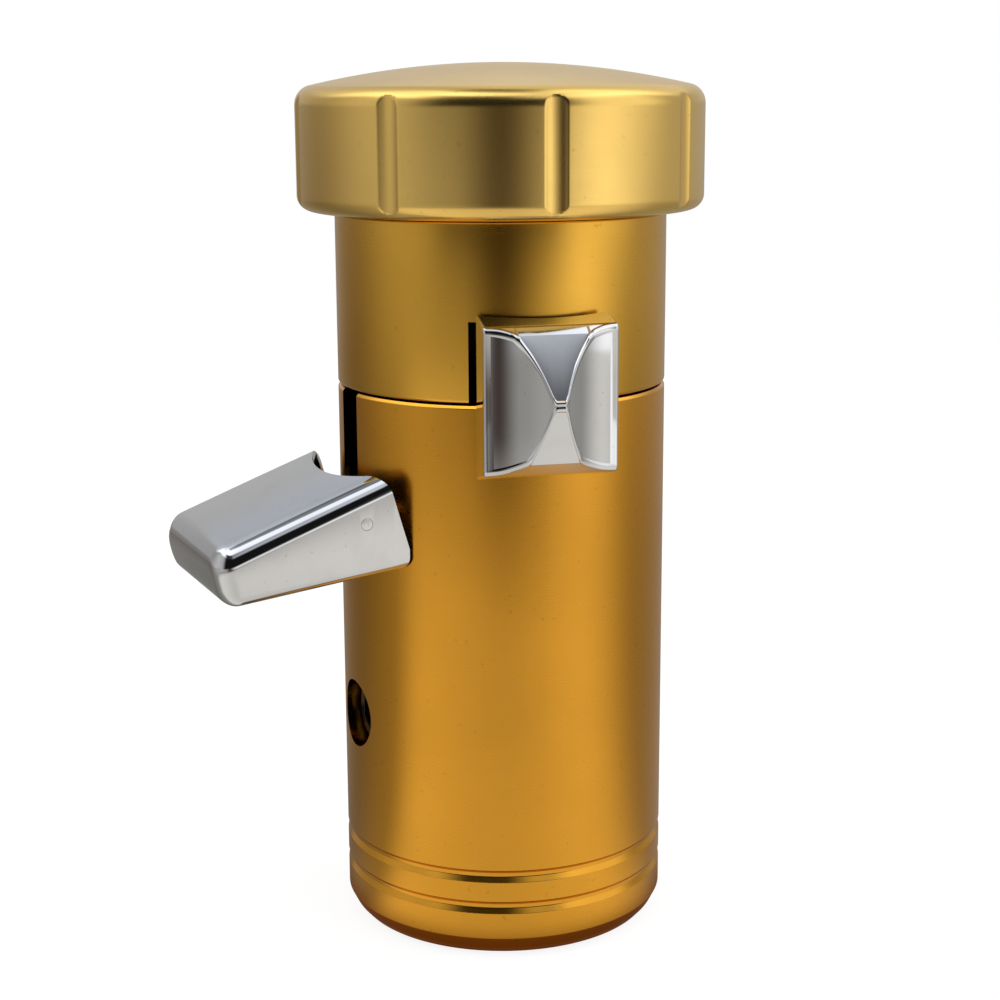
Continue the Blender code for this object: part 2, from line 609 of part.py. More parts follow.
def make_detent(side_name, frame, spool_x, height, along_y):
    """The ball, spring and plug that hold a spool, with the hole that takes them."""
    start = SPOOL_RADIUS + PIN_GAP
    ball_centre = start + DETENT_BALL_RADIUS
    spring_start = ball_centre + DETENT_BALL_RADIUS + PIN_GAP
    plug_start = spring_start + DETENT_SPRING_LENGTH + PIN_GAP
    hole_end = plug_start + DETENT_PLUG_LENGTH + BARREL_WALL * 2
    hole_radius = DETENT_BALL_RADIUS + PIN_GAP
    quarter = Matrix.Rotation(-math.pi / 2, 3, "X" if along_y else "Y")

    def laid(shape):
        bmesh.ops.rotate(shape, verts=shape.verts, matrix=quarter)
        bmesh.ops.translate(shape, verts=shape.verts, vec=(spool_x, 0.0, height))
        return shape

    ball = bmesh.new()
    rings = BALL_FACETS // 2
    bmesh.ops.create_uvsphere(
        ball, u_segments=BALL_FACETS, v_segments=rings, radius=DETENT_BALL_RADIUS
    )
    bmesh.ops.translate(ball, verts=ball.verts, vec=(0.0, 0.0, ball_centre))
    place(f"{side_name}_detent_ball", laid(ball), STEEL, frame)
    plug = place(
        f"{side_name}_detent_plug",
        laid(rod(DETENT_BALL_RADIUS, plug_start, plug_start + DETENT_PLUG_LENGTH)),
        BLACK_STEEL,
        frame,
    )
    socket_start = plug_start + DETENT_PLUG_LENGTH - DETENT_PLUG_SOCKET
    cut(plug, laid(hexagon(DETENT_PLUG_HEX, socket_start, hole_end)), frame)
    coil_radius = DETENT_BALL_RADIUS - DETENT_SPRING_WIRE - PIN_GAP / 2
    middle = Vector((spool_x, 0.0, height))
    make_spring(f"{side_name}_detent_spring", frame, middle, quarter, coil_radius, spring_start)
    return laid(rod(hole_radius, SPOOL_RADIUS / 2, hole_end))


def make_spring(name, frame, middle, quarter, coil_radius, start):
    """A round-wire coil laid along its detent hole."""
    steps = DETENT_SPRING_TURNS * SPRING_STEPS
    rise = DETENT_SPRING_LENGTH - 2 * DETENT_SPRING_WIRE
    curve = bpy.data.curves.new(name, "CURVE")
    curve.dimensions = "3D"
    curve.bevel_depth = DETENT_SPRING_WIRE
    curve.bevel_resolution = 0
    curve.use_fill_caps = True
    spline = curve.splines.new("POLY")
    spline.points.add(steps)
    for step, point in enumerate(spline.points):
        turn = 2 * math.pi * DETENT_SPRING_TURNS * step / steps
        along = start + DETENT_SPRING_WIRE + rise * step / steps
        on_coil = Vector((coil_radius * math.cos(turn), coil_radius * math.sin(turn), along))
        point.co = (*(middle + quarter @ on_coil), 1.0)
    curve.materials.append(finish_material(SPRING_STEEL))
    piece = bpy.data.objects.new(name, curve)
    piece.parent = frame
    bpy.context.collection.objects.link(piece)


def spool_profile(sections):
    """A turned profile, top to bottom, from (radius, top, bottom) sections."""
    profile = [(0.0, sections[0][1])]
    for radius, top, bottom in sections:
        profile += [(radius, top), (radius, bottom)]
    profile.append((0.0, sections[-1][2]))
    return profile


def land_with_grooves(top, bottom, grooves):
    """Spool sections between two heights, with (height, half width, depth) grooves."""
    sections = []
    edge = top
    for height, half_width, depth in sorted(grooves, reverse=True):
        sections.append((SPOOL_RADIUS, edge, height + half_width))
        sections.append((SPOOL_RADIUS - depth, height + half_width, height - half_width))
        edge = height - half_width
    sections.append((SPOOL_RADIUS, edge, bottom))
    return sections


def make_seals(side_name, frame, origin, heights):
    middle = SPOOL_RADIUS - SEAL_SECTION
    for number, height in enumerate(heights, 1):
        shape = ring_seal(middle, SEAL_SECTION, height, centre=(origin[0], 0.0))
        place(f"{side_name}_spool_seal_{number}", shape, RUBBER, frame, origin)


def make_range_valve(frame, splitter_frame):
    waist_half = FINGER_RADIUS + RUN_GAP
    spool_top = RANGE_BODY_TOP_Z - SPOOL_TOP_INSET
    spool_bottom = RANGE_BODY_BOTTOM_Z + RANGE_TRAVEL + SPOOL_RADIUS / 2
    seal_half = SEAL_SECTION + SEAT_GAP
    low_seal = spool_bottom + 2 * seal_half
    middle_seal = low_seal + 4 * seal_half
    top_seal = spool_top - 2 * seal_half
    detent_z = middle_seal + 2 * seal_half
    detent_half = DETENT_BALL_RADIUS / 3
    seal_grooves = [(height, seal_half, SEAL_GROOVE_DEPTH) for height in (low_seal, middle_seal)]
    detent_grooves = [
        (height, detent_half, DETENT_GROOVE_DEPTH) for height in (detent_z, detent_z + RANGE_TRAVEL)
    ]
    top_grooves = [(top_seal, seal_half, SEAL_GROOVE_DEPTH)]
    sections = land_with_grooves(spool_top, FINGER_Z + waist_half, top_grooves)
    sections.append((WAIST_RADIUS, FINGER_Z + waist_half, FINGER_Z - waist_half))
    sections += land_with_grooves(FINGER_Z - waist_half, spool_bottom, seal_grooves + detent_grooves)
    origin = (RANGE_SPOOL_X, 0.0, FINGER_Z)
    spool = turned(spool_profile(sections), RING_FACETS, centre=(RANGE_SPOOL_X, 0.0))
    place("range_spool", spool, STEEL, frame, origin)
    make_seals("range", frame, origin, (low_seal, middle_seal, top_seal))

    core = rod(CORE_RADIUS, RANGE_BODY_BOTTOM_Z, RANGE_BODY_TOP_Z, BARREL_FACETS)
    body = place("range_valve_body", core, CORE_PLASTIC)
    bore_bottom = spool_bottom - RANGE_TRAVEL - RUN_GAP
    bore = rod(SPOOL_BORE_RADIUS, bore_bottom, PARTING_Z, BORE_FACETS, centre=(RANGE_SPOOL_X, 0.0))
    cut(body, bore, frame)
    swing = (CORE_RADIUS - RANGE_PIVOT_X) * math.tan(RANGE_FLIP - RANGE_DROOP)
    sweep = max(swing + RANGE_ARM_ROOT, RANGE_HUB_RADIUS) + 2 * RUN_GAP
    channel_half = RANGE_ARM_WIDTH / 2 + RUN_GAP
    channel = block(
        (RANGE_SPOOL_X, -channel_half, RANGE_PIVOT_Z - sweep),
        (BARREL_RADIUS, channel_half, RANGE_PIVOT_Z + sweep),
    )
    cut(body, channel, frame)
    pin_half = math.sqrt(CORE_RADIUS ** 2 - RANGE_PIVOT_X ** 2) - PIN_INSET
    pin_hole = rod(PIN_RADIUS + PIN_GAP, -BARREL_RADIUS, BARREL_RADIUS)
    cut(body, lay_along_y(pin_hole, RANGE_PIVOT), frame)
    pin = lay_along_y(rod(PIN_RADIUS, -pin_half, pin_half), RANGE_PIVOT)
    place("range_pivot_pin", pin, STEEL, frame)
    cut(body, make_detent("range", frame, RANGE_SPOOL_X, detent_z, along_y=False), frame)
    for turn in AIR_HOLE_TURNS:
        depth = RANGE_BODY_BOTTOM_Z + FITTING_THREAD_LENGTH + SEAT_GAP
        port = rod(FITTING_THREAD_RADIUS + SEAT_GAP, HUB_TOP_Z, depth, centre=hub_place(turn))
        cut(body, port, frame)
    for turn in HUB_SCREW_TURNS:
        depth = RANGE_BODY_BOTTOM_Z + SCREW_BITE
        cut(body, rod(SCREW_RADIUS + SEAT_GAP, HUB_TOP_Z, depth, centre=hub_place(turn)), frame)
    for side in (-1, 1):
        centre = (TIE_SCREW_X, side * TIE_SCREW_Y)
        hole_bottom = RANGE_BODY_TOP_Z - SCREW_BITE - SEAT_GAP
        hole = rod(SCREW_RADIUS + SEAT_GAP, hole_bottom, PARTING_Z, centre=centre)
        cut(body, hole, splitter_frame)


def make_range_arm(frame):
    half = RANGE_ARM_WIDTH / 2
    pivot = (RANGE_PIVOT_X, RANGE_PIVOT_Z)
    tip = (
        RANGE_PIVOT_X + RANGE_ARM_REACH * math.cos(RANGE_DROOP),
        RANGE_PIVOT_Z - RANGE_ARM_REACH * math.sin(RANGE_DROOP),
    )
    finger = taper(pivot, FINGER_ROOT, (FINGER_X, FINGER_Z), FINGER_RADIUS)
    arm = place("range_arm", plate(finger, -half, half), STEEL, frame, RANGE_PIVOT)
    unite(arm, plate(taper(pivot, RANGE_ARM_ROOT, tip, RANGE_ARM_TIP), -half, half), frame)
    boss_half = half + RANGE_HUB_PROUD
    unite(arm, lay_along_y(rod(RANGE_HUB_RADIUS, -boss_half, boss_half, BORE_FACETS), RANGE_PIVOT), frame)
    hole = rod(PIN_RADIUS + PIN_GAP, -LEVER_WIDTH, LEVER_WIDTH)
    cut(arm, lay_along_y(hole, RANGE_PIVOT), frame)
    cross_hole = rod(LEVER_PIN_RADIUS + PIN_GAP, -LEVER_WIDTH, LEVER_WIDTH)
    cut(arm, lay_along_y(cross_hole, lever_pin_point()), frame)


def lever_pin_point():
    return (
        RANGE_PIVOT_X + LEVER_PIN_REACH * math.cos(RANGE_DROOP),
        0.0,
        RANGE_PIVOT_Z - LEVER_PIN_REACH * math.sin(RANGE_DROOP),
    )


def lever_outline(inset, inner_x, outer_x=None):
    """The lever's side outline, drawn in by a wall, from the barrel outwards."""
    top_slope = math.tan(LEVER_TOP_DROOP)
    bottom_slope = math.tan(LEVER_BOTTOM_DROOP)
    lean = math.tan(LEVER_END_LEAN)
    top_rise = LEVER_TOP_RISE - inset / math.cos(LEVER_TOP_DROOP)
    bottom_fall = LEVER_BOTTOM_FALL - inset / math.cos(LEVER_BOTTOM_DROOP)
    end_reach = LEVER_REACH - inset / math.cos(LEVER_END_LEAN) + LEVER_END_FALL * lean

    def top(reach):
        return (BARREL_RADIUS + reach, RANGE_PIVOT_Z + top_rise - reach * top_slope)

    def bottom(reach):
        return (BARREL_RADIUS + reach, RANGE_PIVOT_Z - bottom_fall - reach * bottom_slope)

    top_end = (end_reach + top_rise * lean) / (1 + top_slope * lean)
    bottom_end = (end_reach - bottom_fall * lean) / (1 + bottom_slope * lean)
    if outer_x is not None:
        top_end = outer_x - BARREL_RADIUS
        bottom_end = top_end
    inner = inner_x - BARREL_RADIUS
    return [top(inner), top(top_end), bottom(bottom_end), bottom(inner)]


def make_range_lever(frame):
    half = LEVER_WIDTH / 2
    inner_x = BORE_RADIUS - BARREL_WALL
    shell = plate(lever_outline(0.0, inner_x), -half, half)
    kept = [edge for edge in shell.edges if min(vert.co.x for vert in edge.verts) > inner_x + LEVER_WALL]
    long_edges = [edge for edge in shell.edges if abs(edge.verts[0].co.x - edge.verts[1].co.x) > half]
    rounded = list(set(kept + long_edges))
    bmesh.ops.bevel(
        shell, geom=rounded, offset=LEVER_EDGE_RADIUS, segments=3, profile=0.5, affect="EDGES"
    )
    lever = place("range_lever", shell, CHROME, frame, RANGE_PIVOT)
    blade_half = RANGE_ARM_WIDTH / 2 + RUN_GAP
    blade_end = RANGE_PIVOT_X + RANGE_ARM_REACH + RANGE_ARM_TIP + LEVER_WALL
    cut(lever, plate(lever_outline(LEVER_WALL, 0.0, blade_end), -blade_half, blade_half), frame)
    rib_outer = blade_half + LEVER_RIB
    wall_inner = half - LEVER_WALL
    for side in (-1, 1):
        low, high = sorted((side * rib_outer, side * wall_inner))
        hollow = plate(lever_outline(LEVER_WALL, 0.0), low, high)
        ends = [edge for edge in hollow.edges if abs(edge.verts[0].co.x - edge.verts[1].co.x) > half]
        outer_ends = [edge for edge in ends if abs(edge.verts[0].co.y) > rib_outer + LEVER_WALL]
        bmesh.ops.bevel(
            hollow,
            geom=outer_ends,
            offset=LEVER_EDGE_RADIUS - LEVER_WALL,
            segments=2,
            profile=0.5,
            affect="EDGES",
        )
        cut(lever, hollow, frame)
    root_radius = BARREL_RADIUS + LEVER_ROOT_GAP
    root_z = RANGE_PIVOT_Z - LEVER_ROOT_FALL
    scallop_radius = BARREL_RADIUS + LEVER_SCALLOP_GAP
    scallop_z = RANGE_PIVOT_Z + LEVER_SCALLOP_RISE
    flare = (scallop_radius - root_radius) / (scallop_z - root_z)
    high = PARTING_Z
    cut(lever, rod(root_radius, 0.0, high, BARREL_FACETS))
    low_radius = root_radius - LEVER_SCALLOP_CENTRE
    hollow_top = [
        (0.0, high),
        (low_radius + flare * (high - root_z), high),
        (low_radius, root_z),
        (0.0, root_z),
    ]
    scallop = turned(hollow_top, BARREL_FACETS)
    bmesh.ops.translate(scallop, verts=scallop.verts, vec=(LEVER_SCALLOP_CENTRE, 0.0, 0.0))
    cut(lever, scallop, frame)
    cross_hole = rod(LEVER_PIN_RADIUS + PIN_GAP, -LEVER_WIDTH, LEVER_WIDTH)
    cut(lever, lay_along_y(cross_hole, lever_pin_point()), frame)
    pin_half = half - PIN_GAP
    pin = lay_along_y(rod(LEVER_PIN_RADIUS, -pin_half, pin_half), lever_pin_point())
    place("range_lever_pin", pin, STEEL, frame, RANGE_PIVOT)


def splitter_arm_height(x, side):
    """The height of the arm's upper or lower edge at a place along it."""
    run = NECK_START_X - SPLITTER_PIVOT_X
    share = (x - SPLITTER_PIVOT_X) / run
    middle = SPLITTER_PIVOT_Z + (NECK_MIDDLE_Z - SPLITTER_PIVOT_Z) * share
    neck_half = SPLITTER_NECK_HEIGHT / 2
    half = SPLITTER_EYE_RADIUS + (neck_half - SPLITTER_EYE_RADIUS) * share
    slope = math.atan2(SPLITTER_PIVOT_Z - NECK_MIDDLE_Z, run)
    return middle + side * half / math.cos(slope)


def make_splitter_arm(frame):
    half = SPLITTER_ARM_WIDTH / 2
    neck_half = SPLITTER_NECK_HEIGHT / 2
    eye = (SPLITTER_PIVOT_X, SPLITTER_PIVOT_Z)
    root = (NECK_START_X, NECK_MIDDLE_Z)
    outline = taper(eye, SPLITTER_EYE_RADIUS, root, neck_half)
    arm = place("splitter_arm", plate(outline, -half, half), STEEL, frame, SPLITTER_PIVOT)
    neck = block(
        (NECK_START_X, -SPLITTER_NECK_WIDTH / 2, NECK_MIDDLE_Z - neck_half),
        (NECK_END_X, SPLITTER_NECK_WIDTH / 2, NECK_MIDDLE_Z + neck_half),
    )
    unite(arm, neck, frame)
    tenon = block(
        (NECK_START_X, -SPLITTER_TENON_WIDTH / 2, NECK_MIDDLE_Z - SPLITTER_TENON_HEIGHT / 2),
        (
            NECK_END_X + SPLITTER_TENON_LENGTH,
            SPLITTER_TENON_WIDTH / 2,
            NECK_MIDDLE_Z + SPLITTER_TENON_HEIGHT / 2,
        ),
    )
    unite(arm, tenon, frame)
    hole = rod(PIN_RADIUS + PIN_GAP, -BARREL_RADIUS, BARREL_RADIUS)
    cut(arm, lay_along_y(hole, SPLITTER_PIVOT), frame)
    centre = (SPLITTER_SPOOL_X, 0.0)
    cut(arm, rod(STEM_RADIUS + STEM_PLAY, RANGE_BODY_TOP_Z, SHOULDER_Z, centre=centre), frame)


def make_splitter_lever(frame):
    half = BEAK_WIDTH / 2
    inner_x = BORE_RADIUS
    nose_x = BARREL_RADIUS + BEAK_NOSE_REACH
    roof_x = BARREL_RADIUS + BEAK_ROOF_REACH
    roof_half = BEAK_BACK_HALF_HEIGHT - (roof_x - BEAK_BACK_RADIUS) * BEAK_ROOF_SLOPE
    inner_half = BEAK_BACK_HALF_HEIGHT + (BEAK_BACK_RADIUS - inner_x) * BEAK_ROOF_SLOPE
    roof = [(inner_x, inner_half), (roof_x, roof_half)]
    nose = (nose_x, BEAK_NOSE_HALF_HEIGHT)
    upper = roof + [(BARREL_RADIUS + BEAK_BROW_REACH, BEAK_BROW_HEIGHT), nose]
    lower = roof + [(BARREL_RADIUS + BEAK_CHIN_REACH, BEAK_CHIN_HEIGHT), nose]
    outline = [(x, NOSE_Z + rise) for x, rise in upper]
    outline += [(x, NOSE_Z - rise) for x, rise in reversed(lower)]
    beak = place("splitter_lever", plate(outline, -half, half), CHROME, frame, SPLITTER_PIVOT)
    cove_x = BARREL_RADIUS + COVE_FLOOR_REACH + COVE_RADIUS
    low = NOSE_Z - CAP_RADIUS
    high = NOSE_Z + CAP_RADIUS
    for side in (-1, 1):
        centre = (cove_x, side * COVE_OFFSET)
        cut(beak, rod(COVE_RADIUS, low, high, BARREL_FACETS, centre=centre), frame)
    cut(beak, rod(BEAK_BACK_RADIUS, low, high, BARREL_FACETS))
    pocket_half_width = SPLITTER_TENON_WIDTH / 2 + SEAT_GAP
    pocket_half_height = SPLITTER_TENON_HEIGHT / 2 + SEAT_GAP
    pocket_end = NECK_END_X + SPLITTER_TENON_LENGTH + SEAT_GAP
    pocket = block(
        (BORE_RADIUS, -pocket_half_width, NECK_MIDDLE_Z - pocket_half_height),
        (pocket_end, pocket_half_width, NECK_MIDDLE_Z + pocket_half_height),
    )
    cut(beak, pocket, frame)


def make_splitter_valve(frame):
    arm_top = splitter_arm_height(SPLITTER_SPOOL_X - SPOOL_RADIUS, 1)
    arm_bottom = splitter_arm_height(SPLITTER_SPOOL_X, -1)
    land_bottom = arm_top + RUN_GAP
    land_top = SPLITTER_BODY_TOP_Z - SPLITTER_TRAVEL - RUN_GAP
    clip_top = arm_bottom - 2 * RUN_GAP
    clip_bottom = clip_top - CLIP_HEIGHT
    groove_top = clip_top + PIN_GAP
    groove_bottom = clip_bottom - PIN_GAP
    stem_bottom = groove_bottom - CLIP_HEIGHT
    seal_half = SEAL_SECTION + SEAT_GAP
    low_seal = CHANNEL_TOP_Z + 2 * seal_half
    high_seal = low_seal + 3 * seal_half
    detent_half = DETENT_BALL_RADIUS / 3
    detent_z = land_top - 2 * detent_half
    grooves = [(height, seal_half, SEAL_GROOVE_DEPTH) for height in (low_seal, high_seal)]
    grooves += [
        (height, detent_half, DETENT_GROOVE_DEPTH) for height in (detent_z, detent_z - SPLITTER_TRAVEL)
    ]
    sections = land_with_grooves(land_top, land_bottom, grooves)
    sections.append((STEM_RADIUS, land_bottom, groove_top))
    sections.append((STEM_RADIUS - CLIP_GROOVE_DEPTH, groove_top, groove_bottom))
    sections.append((STEM_RADIUS, groove_bottom, stem_bottom))
    centre = (SPLITTER_SPOOL_X, 0.0)
    origin = (SPLITTER_SPOOL_X, 0.0, SPLITTER_PIVOT_Z)
    spool = turned(spool_profile(sections), RING_FACETS, centre=centre)
    place("splitter_spool", spool, STEEL, frame, origin)
    clip_inner = STEM_RADIUS - CLIP_GROOVE_DEPTH + PIN_GAP
    clip = pipe(clip_inner, CLIP_RADIUS, clip_bottom, clip_top, RING_FACETS, centre=centre)
    place("splitter_spool_clip", clip, SPRING_STEEL, frame, origin)
    make_seals("splitter", frame, origin, (low_seal, high_seal))

    core = rod(CORE_RADIUS, SPLITTER_BODY_BOTTOM_Z, SPLITTER_BODY_TOP_Z, BARREL_FACETS)
    body = place("splitter_valve_body", core, CORE_PLASTIC)
    channel_half = SPLITTER_ARM_WIDTH / 2 + RUN_GAP
    channel = block(
        (-BARREL_RADIUS, -channel_half, RANGE_BODY_TOP_Z - SCREW_BITE),
        (BARREL_RADIUS, channel_half, CHANNEL_TOP_Z),
    )
    cut(body, channel, frame)
    mouth_half = SPLITTER_NECK_WIDTH / 2 + 2 * RUN_GAP
    mouth = block(
        (NECK_START_X - 2 * RUN_GAP, -mouth_half, RANGE_BODY_TOP_Z - SCREW_BITE),
        (BARREL_RADIUS, mouth_half, CHANNEL_TOP_Z),
    )
    cut(body, mouth, frame)
    bore_top = SPLITTER_BODY_TOP_Z + WEB_HEIGHT
    cut(body, rod(SPOOL_BORE_RADIUS, PARTING_Z, bore_top, BORE_FACETS, centre=centre), frame)
    pin_half = math.sqrt(CORE_RADIUS ** 2 - SPLITTER_PIVOT_X ** 2) - PIN_INSET
    pin_hole = rod(PIN_RADIUS + PIN_GAP, -BARREL_RADIUS, BARREL_RADIUS)
    cut(body, lay_along_y(pin_hole, SPLITTER_PIVOT), frame)
    pin = lay_along_y(rod(PIN_RADIUS, -pin_half, pin_half), SPLITTER_PIVOT)
    place("splitter_pivot_pin", pin, STEEL, frame)
    cut(body, make_detent("splitter", frame, SPLITTER_SPOOL_X, detent_z, along_y=True), frame)
    for number, side in enumerate((-1, 1), 1):
        screw_centre = (TIE_SCREW_X, side * TIE_SCREW_Y)
        hole = rod(
            SCREW_RADIUS + SEAT_GAP,
            SPLITTER_BODY_BOTTOM_Z - SCREW_BITE,
            SPLITTER_BODY_TOP_Z + WEB_HEIGHT,
            centre=screw_centre,
        )
        cut(body, hole, frame)
        high = WEB_TOP_Z + SEAT_GAP + SCREW_HEAD_HEIGHT
        low = RANGE_BODY_TOP_Z - SCREW_BITE
        socket_screw(f"tie_screw_{number}", frame, screw_centre, low, high, BLACK_STEEL)


def main():
    clear_scene()
    range_frame = lever_frame("range_frame", RANGE_AZIMUTH)
    splitter_frame = lever_frame("splitter_frame", 0.0)
    make_lower_barrel(range_frame)
    make_upper_barrel(splitter_frame)
    make_cap()
    make_hub(range_frame)
    make_fittings(range_frame)
    make_range_valve(range_frame, splitter_frame)
    make_range_arm(range_frame)
    make_range_lever(range_frame)
    make_splitter_valve(splitter_frame)
    make_splitter_arm(splitter_frame)
    make_splitter_lever(splitter_frame)
    bpy.context.view_layer.update()


main()
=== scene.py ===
"""Looks of a two-lever gear shift knob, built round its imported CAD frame.

Metres, +Z up, the barrel on the Z axis. The beak points along -Y and the flip
lever stands 79 degrees round from it.
"""

import math

import bmesh
import bpy
from bpy.props import FloatProperty, FloatVectorProperty, IntProperty, PointerProperty
from mathutils import Matrix, Vector


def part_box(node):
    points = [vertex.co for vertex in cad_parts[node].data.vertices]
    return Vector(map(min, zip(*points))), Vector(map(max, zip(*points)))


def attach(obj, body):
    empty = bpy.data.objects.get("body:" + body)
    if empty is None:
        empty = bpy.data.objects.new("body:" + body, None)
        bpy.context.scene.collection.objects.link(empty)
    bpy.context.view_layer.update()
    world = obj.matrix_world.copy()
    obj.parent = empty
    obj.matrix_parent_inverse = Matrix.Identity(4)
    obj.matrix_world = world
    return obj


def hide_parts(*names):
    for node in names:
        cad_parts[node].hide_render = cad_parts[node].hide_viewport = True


bl_info = {
    "name": "Gear Shift Knob",
    "version": (1, 0, 0),
    "blender": (4, 5, 0),
    "location": "View3D > Sidebar > Knob",
    "description": "Builds the visible pieces, finishes and studio of a gear shift knob",
    "category": "Object",
}

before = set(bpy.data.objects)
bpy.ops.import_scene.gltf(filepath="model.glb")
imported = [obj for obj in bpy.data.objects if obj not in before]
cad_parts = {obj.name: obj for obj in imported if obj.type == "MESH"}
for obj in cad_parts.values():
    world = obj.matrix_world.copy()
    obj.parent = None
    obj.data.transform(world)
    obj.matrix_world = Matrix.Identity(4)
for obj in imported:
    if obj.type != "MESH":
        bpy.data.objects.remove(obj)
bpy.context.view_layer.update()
FIXED = "knob"
RANGE_SET = "range_lever_set"
SPLITTER_SET = "splitter_lever_set"


def length(name, description, default):
    return FloatProperty(name=name, description=description, default=default, unit="LENGTH", precision=5)


def turn(name, description, degrees):
    return FloatProperty(
        name=name, description=description, default=math.radians(degrees), subtype="ANGLE"
    )


def share(name, description, default):
    return FloatProperty(name=name, description=description, default=default, min=0.0)


def tint(name, description, default):
    return FloatVectorProperty(
        name=name, description=description, default=default, size=3, min=0.0, max=1.0, subtype="COLOR"
    )


class BarrelSettings(bpy.types.PropertyGroup):
    """Sizes and finish of the two barrel halves."""

    radius: length("Radius", "Outside of both barrel halves", 0.0225)
    bore: length("Bore", "Inside of both barrel halves", 0.018)
    ledge: length("Ledge", "Inside of the ledge that the valve body stands on", 0.016)
    ledge_height: length("Ledge height", "Height of the ledge", 0.0042)
    ledge_drop: length("Ledge drop", "From the lower barrel's top down to the ledge", 0.0304)
    rim_round: length("Rim round", "Rounding of the upper rim at the parting line", 0.0007)
    rim_inset: length("Rim inset", "Inset of the lower rim's bevel", 0.0003)
    rim_fall: length("Rim fall", "Height of the lower rim's bevel", 0.0004)
    rim_lift: length("Rim lift", "How far the lower rim closes the parting line", 0.00015)
    edge_round: length("Edge round", "Rounding of slot and window edges", 0.00014)
    foot_height: length("Foot height", "Where the foot's chamfer starts", 0.0026)
    foot_step: length("Foot step", "Height of the chamfer's lower break", 0.0010)
    foot_inset: length("Foot inset", "Inset of the chamfer's lower break", 0.0008)
    foot_radius: length("Foot radius", "Radius of the face that stands on the floor", 0.0208)
    # Slot walls and the barrels' insides deeper than Skin, above the next height, get painted shade.
    skin: length("Skin", "Depth of gold on the slot walls before they turn dark", 0.0007)
    painted_shade_from: length("Dark from", "Height above which the inside is dark", 0.055)
    groove_width: length("Groove width", "Width of the grooves at the foot", 0.00175)
    groove_depth: length("Groove depth", "Depth of the grooves at the foot", 0.0005)
    groove_slope: length("Groove slope", "Height of a groove's sloping lower side", 0.0007)
    upper_groove: length("Upper groove", "Top edge of the upper groove", 0.01244)
    lower_groove: length("Lower groove", "Top edge of the lower groove", 0.00796)
    neck: length("Neck", "Outside of the neck under the cap", 0.0205)
    neck_height: length("Neck height", "Height of the neck under the cap", 0.0098)
    web_hole: length("Web hole", "Radius of the hole in the web", 0.008)
    web_height: length("Web height", "Thickness of the web", 0.003)
    tie_hole: length("Tie hole", "Radius of the tie screws' holes", 0.0018)
    seal_half: length("Seal half", "Half the height of the seal's groove", 0.001)
    seal_depth: length("Seal depth", "Depth of the seal's groove", 0.0017)
    range_slot_half: length("Range slot half", "Half the width of the flip lever's slot", 0.0026)
    range_slot_floor: length("Range slot floor", "Height of that slot's floor", 0.05728)
    splitter_slot_half: length("Splitter slot half", "Half the width of the beak's slot", 0.0092)
    splitter_slot_top: length("Splitter slot top", "Height of that slot's top edge", 0.08629)
    window: length("Window", "Radius of the set screw's window", 0.0047)
    window_height: length("Window height", "Height of the window's middle", 0.0304)
    lower_colour: tint("Lower colour", "Gold of the lower barrel", (0.73, 0.340, 0.035))
    upper_colour: tint("Upper colour", "Gold of the upper barrel", (0.74, 0.40, 0.054))


class CapSettings(bpy.types.PropertyGroup):
    """Sizes and finish of the fluted cap."""

    radius: length("Radius", "Outside of the cap", 0.0275)
    bore: length("Bore", "Inside of the cap's skirt", 0.0208)
    side_height: length("Side height", "From the cap's foot to where its dome starts", 0.01645)
    shoulder_round: length("Shoulder round", "Rounding between side and dome", 0.0026)
    foot_round: length("Foot round", "Rounding under the cap", 0.002)
    dome_rise: length("Dome rise", "Height of the dome above its edge", 0.0029)
    roof: length("Roof", "Thickness at the dome's middle", 0.0065)
    flute_count: IntProperty(name="Flutes", description="Flutes round the cap", default=8, min=1)
    flute_radius: length("Flute radius", "Radius of a flute's hollow", 0.0030)
    flute_depth: length("Flute depth", "Depth of a flute", 0.0004)
    flute_lip: length("Flute lip", "Softness of a flute's lips", 0.00012)
    flute_turn: turn("Flute turn", "Place of the first flute", -88.9)
    colour: tint("Colour", "Champagne gold of the cap", (0.87, 0.575, 0.160))


